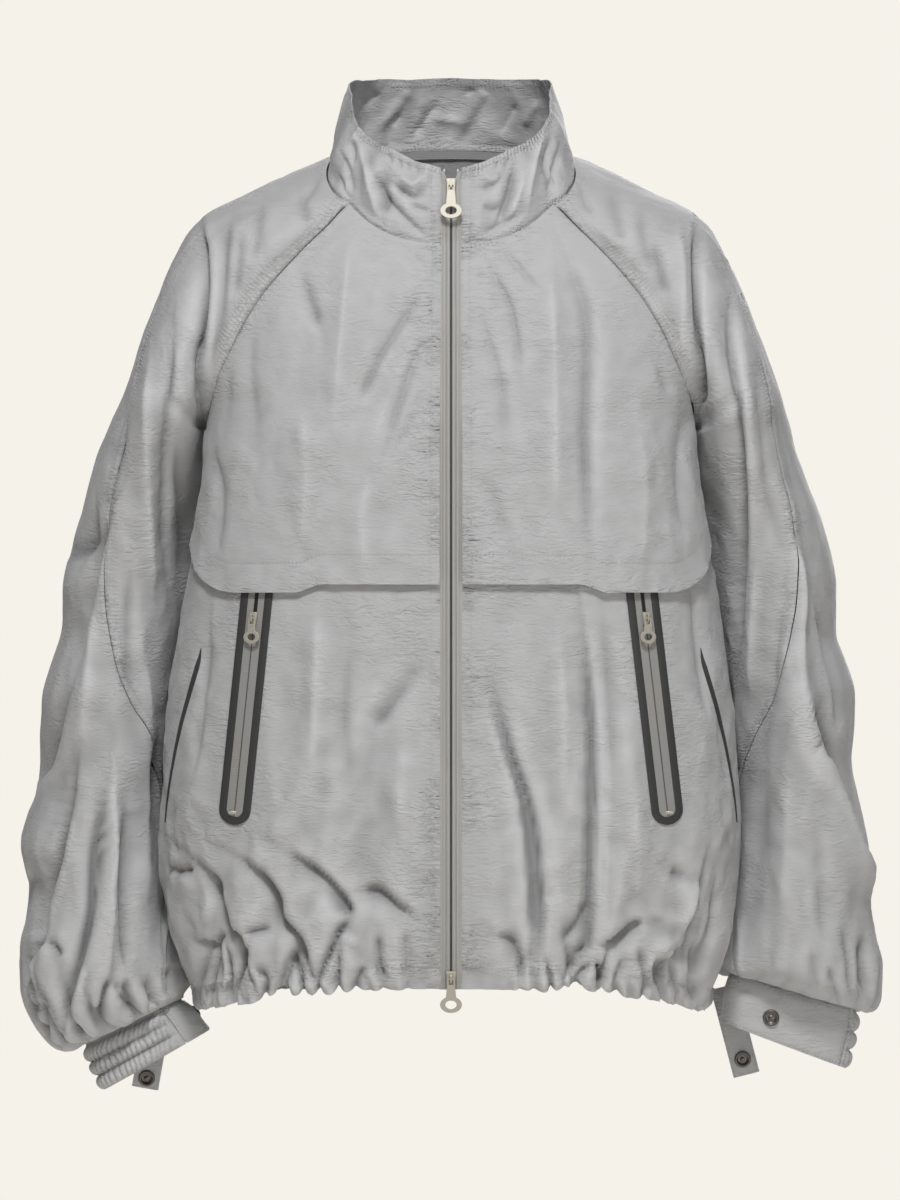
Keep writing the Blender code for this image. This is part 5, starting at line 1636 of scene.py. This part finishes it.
def collar_relief(points, normals, us, vs):
    """Relief for the collar: folds outside in front, and inside behind, where it is seen."""
    places = seen(points)
    front = np.clip(-normals[..., 1] * FACING + 0.4, 0, 1)
    back = np.clip(normals[..., 1] * FACING, 0, 1)
    heights = fold_height(places, COLLAR_FOLDS) * front - fold_height(places, COLLAR_BACK_FOLDS) * back
    return heights + crumple(points, 0.034, 0.0050, 0.45) + rumple(points, 0.03, 0.0010)


made = cloth(
    "collar_cloth", "collar", collar_place, (0.0015, 0.9985, 261), (0, 1, 43), collar_relief,
    net=(2 * COLLAR_HALF, 16),
    rows=(
        Row("v", 0, 0.005, sunk=0.0), Row("v", 0.96, flat=0.005),
        Row("u", 0.0015, 0.0075, 0.008, 0.03), Row("u", 0.9985, -0.0075, 0.008, 0.03),
    ),
)


# Neck tape: a narrow soft tape that covers the neck seam inside the back of the neck.

NECK_TAPE_DROP = 0.002
NECK_TAPE_WIDTH = 0.008
NECK_TAPE_ENDS = (0.04, 0.96)  # as shares of the neck seam behind
LIFT = 0.0006  # clearance under a tape that lies on a panel
WALL = 0.0015  # thickness of the modelled panels
TAPE_THICKNESS = 0.0008
RIB_DEPTH = 0.00007


def woven_tape(name, colour, line, rib_pitch):
    """Tape with fine ribs across it, and darker lines where the attribute "mark" is high."""
    made, tree, shader = finish_named(name, colour, 0.62)
    place = add(tree, "ShaderNodeTexCoord", {}).outputs["Object"]
    tree.links.new(mixed(tree, attribute(tree, "mark"), colour, line), shader.inputs["Base Color"])
    ribs = add(tree, "ShaderNodeTexWave", {
        "Vector": place, "Scale": 2 * math.pi / 20 / rib_pitch, "Distortion": 0.6, "Detail": 1.0,
    }, wave_type="BANDS", bands_direction="Z")
    bump = add(tree, "ShaderNodeBump", {"Height": ribs.outputs[1], "Distance": RIB_DEPTH, "Strength": 1.0})
    tree.links.new(bump.outputs[0], shader.inputs["Normal"])
    return made


neck_ribbon = woven_tape("neck tape, soft twill", "#b4b4b4", "#8a8a8a", 0.0016)


def neck_tape_place(u, v, lift):
    """The place of each point of the neck tape, against the inner side of the back."""
    angle, z = neck_seam_back(between(*NECK_TAPE_ENDS, u))
    return body(angle, z - NECK_TAPE_DROP - NECK_TAPE_WIDTH * v, lift - WALL - LIFT)


made = cloth(
    "neck_tape_cloth", "neck_tape", neck_tape_place, (0, 1, 81), (0, 1, 7),
    lambda points, normals, us, vs: np.zeros(points.shape[:2]), net=(16, 2), finish=neck_ribbon,
    thick=TAPE_THICKNESS,
)


# Main zip: a two-way coil zip put in reversed, so that its smooth tape shows and its coil is a low
# ridge beside the slit. The two halves run from the collar's top to the hem.

ZIP_TOP_Z = -0.0035
ZIP_BOTTOM_Z = -0.664
SEAM_GAP = 0.0004
zip_finish = woven_tape("zip tape, warm grey polyester", "#a6a5a1", "#4a4946", 0.0018)
cord_white, _, _ = finish_named("cord end, melted white nylon", "#c9c9c6", 0.4)
COIL_MIDDLE = 0.0021  # from the slit, in metres
COIL_WIDTH = 0.0012
COIL_SEWN = 0.0040  # where the tape is sewn to the coil
SLIT_HALF = 0.00005
TAPE_PARTS = 0.013  # how far down from its top the zip is open, above its slider
TAPE_OPEN = 0.0052  # how far each half turns aside there, and how far back
TAPE_OPEN_BACK = 0.002
TAPE_UNDER = 0.0018  # how far a tape reaches under its front, and how far back it lies there
TAPE_UNDER_BACK = 0.001
CORD_END = (0.0011, 0.0010, 0.0017)


def front_line(z):
    """How far forward the front edge lies beside the zip, on the body and up the collar."""
    if z < NECK_FRONT_Z:
        return body(beside_zip(z).x, z).y
    share = (z - NECK_FRONT_Z) / (COLLAR_TOP[0][1] - NECK_FRONT_Z)
    base = body(beside_zip(NECK_FRONT_Z).x, NECK_FRONT_Z).y
    return between(base, -COLLAR_TOP_FRONT, share) - COLLAR_BULGE * math.sin(math.pi * share)


def parted(z):
    """How far the zip is open at this height, from 1 at its top to 0 at its slider."""
    return max(1 - (ZIP_TOP_Z - z) / TAPE_PARTS, 0.0)


def zip_place(side):
    """The place of each point of one half of the zip, from its slit to under its front."""

    def place(u, v, lift):
        z = between(ZIP_TOP_Z, ZIP_BOTTOM_Z, v)
        x = between(SLIT_HALF + TAPE_OPEN * parted(z), ZIP_HALF_WIDTH + TAPE_UNDER, u)
        under = max(x - ZIP_HALF_WIDTH, 0.0) / TAPE_UNDER
        back = TAPE_OPEN_BACK * parted(z) * (1 - u) + TAPE_UNDER_BACK * under
        return Vector((side * x, front_line(z) + SEAM_GAP - lift + back, z))

    return place


def zip_relief(points, normals, us, vs):
    """A raised coil beside the slit, a groove where the tape is sewn to it, and a turned outer edge."""
    x = np.broadcast_to(us[None] * (ZIP_HALF_WIDTH + TAPE_UNDER), points.shape[:2])
    coil = 0.0008 * np.exp(-((x - COIL_MIDDLE) / COIL_WIDTH) ** 4)
    groove = -0.0003 * np.exp(-((x - COIL_SEWN) / 0.0005) ** 2)
    edge = -0.0005 * np.exp(-((x - ZIP_HALF_WIDTH) / 0.0008) ** 2)
    slit = -0.0012 * np.exp(-(x / 0.0006) ** 2)
    return coil + groove + edge + slit + rumple(points, 0.05, 0.0007) * np.clip(x / 0.004, 0.4, 1)


def lump(name, at, radii, subdivisions, finish):
    """A small smooth lump."""
    bm = bmesh.new()
    placed = Matrix.Translation(at) @ Matrix.Diagonal((*radii, 1.0))
    bmesh.ops.create_icosphere(bm, subdivisions=subdivisions, radius=1.0, matrix=placed)
    return finished(name, bm, finish)


for side, word in SIDES:
    made = cloth(
        "zip_cloth_" + word, "zip_tape_" + word, zip_place(side), (0, 1, 20), (0, 1, 331), zip_relief,
        net=(2, 200), finish=zip_finish, thick=TAPE_THICKNESS,
    )
    # Painted shade: the tape is coloured dark within 0.7 mm of the slit, where the gap between the halves
    # lies in shade, and a little darker along the line where it is sewn to the coil.
    x = np.array([abs(vert.co.x) - TAPE_OPEN * parted(vert.co.z) for vert in made.data.vertices])
    sewn_line = 0.45 * np.exp(-((x - COIL_SEWN - 0.0002) / 0.0004) ** 2)
    set_values(made.data, "mark", np.maximum(1.0 * (x < 0.0007), sewn_line))
    at = zip_place(side)(0.06, 0.0, 0.0012)
    lump("zip_cord_end_" + word, at, CORD_END, 2, cord_white)


# Sliders and pulls: die-cast metal with a satin nickel coat, each pull a tab with a ring. They keep
# their modelled form, with the pulls a little wider and all edges softly rounded.

metal, _, _ = finish_named("satin nickel", "#b9b4a7", 0.5, 0.35)
# Painted shade: a darker copy of the same nickel, for the bottom slider and pull and the pocket end stops.
metal_painted_shade, _, _ = finish_named("satin nickel, painted darker as shade", "#b5afa1", 0.5, 0.35)
SOFT_EDGE = 0.00022
PULL_SPREAD = 1.34  # how much wider a pull's tab and ring are than they are modelled


def rounded_copy(node, finish, body_name):
    """The CAD node's own form with its edges rounded and its new finish, on the body that carries it."""
    bm = bmesh.new()
    bm.from_mesh(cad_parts[node].data)
    bmesh.ops.remove_doubles(bm, verts=bm.verts, dist=1e-5)
    bmesh.ops.dissolve_limit(bm, angle_limit=math.radians(2), verts=bm.verts, edges=bm.edges)
    if "pull" in node:
        spots = np.array([vert.co for vert in bm.verts])
        middle = spots.mean(0)
        _, _, ways = np.linalg.svd(spots - middle)
        across = Vector(ways[1])
        for vert in bm.verts:
            vert.co += across * (vert.co - Vector(middle)).dot(across) * (PULL_SPREAD - 1)
    made = finished(node + "_metal", bm, finish, smooth=False)
    bevel = made.modifiers.new("rounded edges", "BEVEL")
    bevel.width = SOFT_EDGE
    bevel.segments = 2
    bevel.limit_method = "ANGLE"
    bevel.angle_limit = math.radians(35)
    made.data.shade_smooth()
    made.data.set_sharp_from_angle(angle=math.radians(40))
    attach(made, body_name)
    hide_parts(node)


for word, finish in (("top", metal), ("bottom", metal_painted_shade), ("right", metal), ("left", metal)):
    pocket = "pocket_" if word in ("right", "left") else ""
    slider, pull = pocket + "slider_" + word, pocket + "pull_" + word
    rounded_copy(slider, finish, "jacket")
    rounded_copy(pull, finish, pull)


# Pockets: the upright pocket in each front closes with a small zip, in a U of bonded dark tape.


def surface_of(made):
    """The outer side of a piece in the scene, for laying things on it."""
    bm = bmesh.new()
    bm.from_mesh(made.data)
    tree = BVHTree.FromBMesh(bm)
    bm.free()
    return tree


def on(tree, x, z, lift):
    """A point this far in front of a surface."""
    point, normal, _, _ = tree.ray_cast(Vector((x, -1.0, z)), Vector((0.0, 1.0, 0.0)))
    return point + normal * lift * (1 if normal.y < 0 else -1)


bonded = woven_tape("bonded tape, matt dark grey film", "#373737", "#5c5c5a", 0.0011)
pocket_zip_finish = woven_tape("pocket zip tape, warm grey polyester", "#939290", "#141414", 0.0016)
POCKET_LIE = 0.0004  # how far the inner side of a pocket's tape lies off the cloth


def lay(name, node, columns, rows, place, finish, mark):
    """A thin tape laid on the cloth by place(u, v), with its marks, and replacing its CAD node."""
    us, vs = np.linspace(0, 1, columns + 1), np.linspace(0, 1, rows + 1)
    bm, j, i = lattice(us, vs)
    made = finished(name, bm, finish)
    made.data.vertices.foreach_set("co", np.array([place(u, v) for u, v in zip(us[i], vs[j])]).ravel())
    set_values(made.data, "mark", np.array([mark(u, v) for u, v in zip(us[i], vs[j])]))
    made.data.update()
    if made.data.polygons[0].normal.y > 0:
        made.data.flip_normals()
    thicken(made, "thickness of the tape", TAPE_THICKNESS)
    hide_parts(node)


POCKET_BAND = 0.0062  # width of the bonded tape
POCKET_SLIDER_Z = -0.3660
POCKET_STEPS = 100  # rows of faces down each side of the tape, and round its end
POCKET_TURN_STEPS = 30
BAND_BULGE = 0.0004
STRIP_UNDER = 0.0008  # how far the zip's tape reaches under the bonded tape
END_STOP = (0.0050, 0.0006, 0.0015)
for side, word in SIDES:
    top, bottom, down, across = pocket_frame(side)
    surface = surface_of(front_sheets[side])
    straight, turn = POCKET_STEPS, POCKET_TURN_STEPS
    opening = POCKET_RADIUS - POCKET_BAND

    def tape_place(u, v):
        radius = between(opening, POCKET_RADIUS, u)
        step = v * (2 * straight + turn)
        if step <= straight:
            at = between(top, bottom, step / straight) - across * radius
        elif step <= straight + turn:
            angle = (step - straight) / turn * math.pi
            at = bottom - across * radius * math.cos(angle) + down * radius * math.sin(angle)
        else:
            at = between(bottom, top, (step - straight - turn) / straight) + across * radius
        return on(surface, at.x, at.y, POCKET_LIE + TAPE_THICKNESS + BAND_BULGE * math.sin(math.pi * u))

    def strip_place(u, v):
        middle = between(top, bottom + down * opening * 0.9, v)
        half = opening + STRIP_UNDER
        past = (middle - bottom).dot(down) / opening
        if past > 0:
            half *= math.sqrt(max(1 - (past * 0.86) ** 2, 0.05))
        at = middle + across * between(-half, half, u)
        return on(surface, at.x, at.y, POCKET_LIE + TAPE_THICKNESS - 0.0002)

    slider_share = (POCKET_SLIDER_Z - top.y) / (bottom.y - top.y)
    foot = bottom + down * opening * 0.45
    at = on(surface, foot.x, foot.y, 0.0012)
    lump("pocket_end_stop_" + word, at, END_STOP, 3, metal_painted_shade)

    # Painted shade: the strip is coloured near black down its middle, wide where the zip stands open above
    # its slider and narrow below it, where its slot holds only shade.
    def slot_painted_shade(u, v):
        from_middle = abs(u - 0.5) * 2 * opening
        slot = 0.0013 if v < slider_share else 0.0004
        return min(max((slot - from_middle) / 0.0004 + 0.5, 0.0), 1.0)

    lay(
        "pocket_tape_cloth_" + word, "pocket_tape_" + word, 4, 2 * straight + turn, tape_place, bonded,
        lambda u, v: 0.0,
    )
    lay(
        "pocket_zip_cloth_" + word, "pocket_zip_" + word, 24, 120, strip_place, pocket_zip_finish, slot_painted_shade,
    )


# Side tapes: a bonded tape tapers down each side, over the seam of the side panel.

SIDE_TAPE_SHOWN = 1.9  # its width as a share of the modelled one, which is turned away
Taper = namedtuple("Taper", "z degrees width")
SIDE_TAPE = (
    Taper(-0.390, 60, 0.0016),
    Taper(-0.400, 60.5, 0.0036),
    Taper(-0.430, 64.5, 0.0040),
    Taper(-0.455, 68, 0.0040),
    Taper(-0.486, 72, 0.0036),
    Taper(-0.515, 75.5, 0.0028),
    Taper(-0.532, 77, 0.0014),
)
for side, word in SIDES:
    surface = surface_of(front_sheets[side])
    knots = column(SIDE_TAPE, "z")

    def side_place(u, v):
        z = between(knots[0], knots[-1], v)
        degrees = along(knots, column(SIDE_TAPE, "degrees"), z)
        width = along(knots, column(SIDE_TAPE, "width"), z) * SIDE_TAPE_SHOWN
        width *= min(v * 9, 1) ** 0.6 * (1.35 - 0.7 * v)
        angle = math.radians(degrees) + (u - 0.5) * width / body_size("half_width", z)
        at = body(angle * side, z)
        return on(surface, at.x, z, 0.0002 + TAPE_THICKNESS)

    lay(
        "side_tape_cloth_" + word, "side_tape_" + word, 3, 90, side_place, bonded, lambda u, v: 0.0,
    )


# Snaps: sprung snap caps of blackened steel, pressed through the cuff bands and the straps.

SNAP_RADIUS = 0.0068
SNAP_HEIGHT = 0.0022
SNAP_LIFT = 0.0006  # how far a snap's foot stands out of the cloth
CUFF_SNAPS = {-1: (205, 0.45), 1: (103, 0.57)}  # degrees round the cuff, and how far down it
gunmetal, _, _ = finish_named("blackened steel, satin", "#6f6b66", 0.36, 0.9)
SNAP_PROFILE = (  # radius and height as shares of the snap's own
    (0.0, 0.55), (0.16, 0.55), (0.24, 0.42), (0.30, 0.30), (0.52, 0.30), (0.62, 0.52), (0.72, 0.86),
    (0.80, 1.0), (0.88, 0.94), (0.95, 0.66), (1.0, 0.25), (1.0, 0.0),
)


def snap(name, node, at, outwards):
    """A turned snap cap: a rolled rim round a sunk ring, with a button in its middle."""
    bm = bmesh.new()
    line = [bm.verts.new((r * SNAP_RADIUS, 0.0, h * SNAP_HEIGHT)) for r, h in SNAP_PROFILE]
    edges = [bm.edges.new(pair) for pair in zip(line, line[1:])]
    bmesh.ops.spin(
        bm, geom=line + edges, cent=(0, 0, 0), axis=(0, 0, 1), angle=2 * math.pi, steps=36, use_merge=True,
        use_duplicate=False,
    )
    bmesh.ops.remove_doubles(bm, verts=bm.verts, dist=1e-5)
    bmesh.ops.recalc_face_normals(bm, faces=bm.faces)
    turned = outwards.to_track_quat("Z", "Y").to_matrix().to_4x4()
    turned.translation = at
    bmesh.ops.transform(bm, matrix=turned, verts=bm.verts)
    made = finished(name, bm, gunmetal)
    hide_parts(node)


for side, word in SIDES:
    cuff = CUFFS[side]
    degrees, v = CUFF_SNAPS[side]
    at = cuff_point(cuff, side, degrees, v)
    along_cuff = cuff_point(cuff, side, degrees + 5, v) - cuff_point(cuff, side, degrees - 5, v)
    down_cuff = cuff_point(cuff, side, degrees, 1) - cuff_point(cuff, side, degrees, 0)
    outwards = along_cuff.cross(down_cuff).normalized() * side
    snap("cuff_snap_metal_" + word, "cuff_snap_" + word, at + outwards * SNAP_LIFT, outwards)
    strap = STRAPS[side]
    at = between(Vector(strap.top), Vector(strap.bottom), STRAP_SNAP_SHARE)
    at = Vector((at.x, strap_y(strap, STRAP_SNAP_SHARE) - SNAP_LIFT, at.y))
    snap("strap_snap_metal_" + word, "strap_snap_" + word, at, Vector((0, -1, 0)))


# Stitching: lockstitch in thread of the same grey, along the seams and hems.

thread, _, _ = finish_named("grey polyester thread, matt", "#b4b4b1", 0.65)
sewn = sew("stitching", stitch_lines, thread)
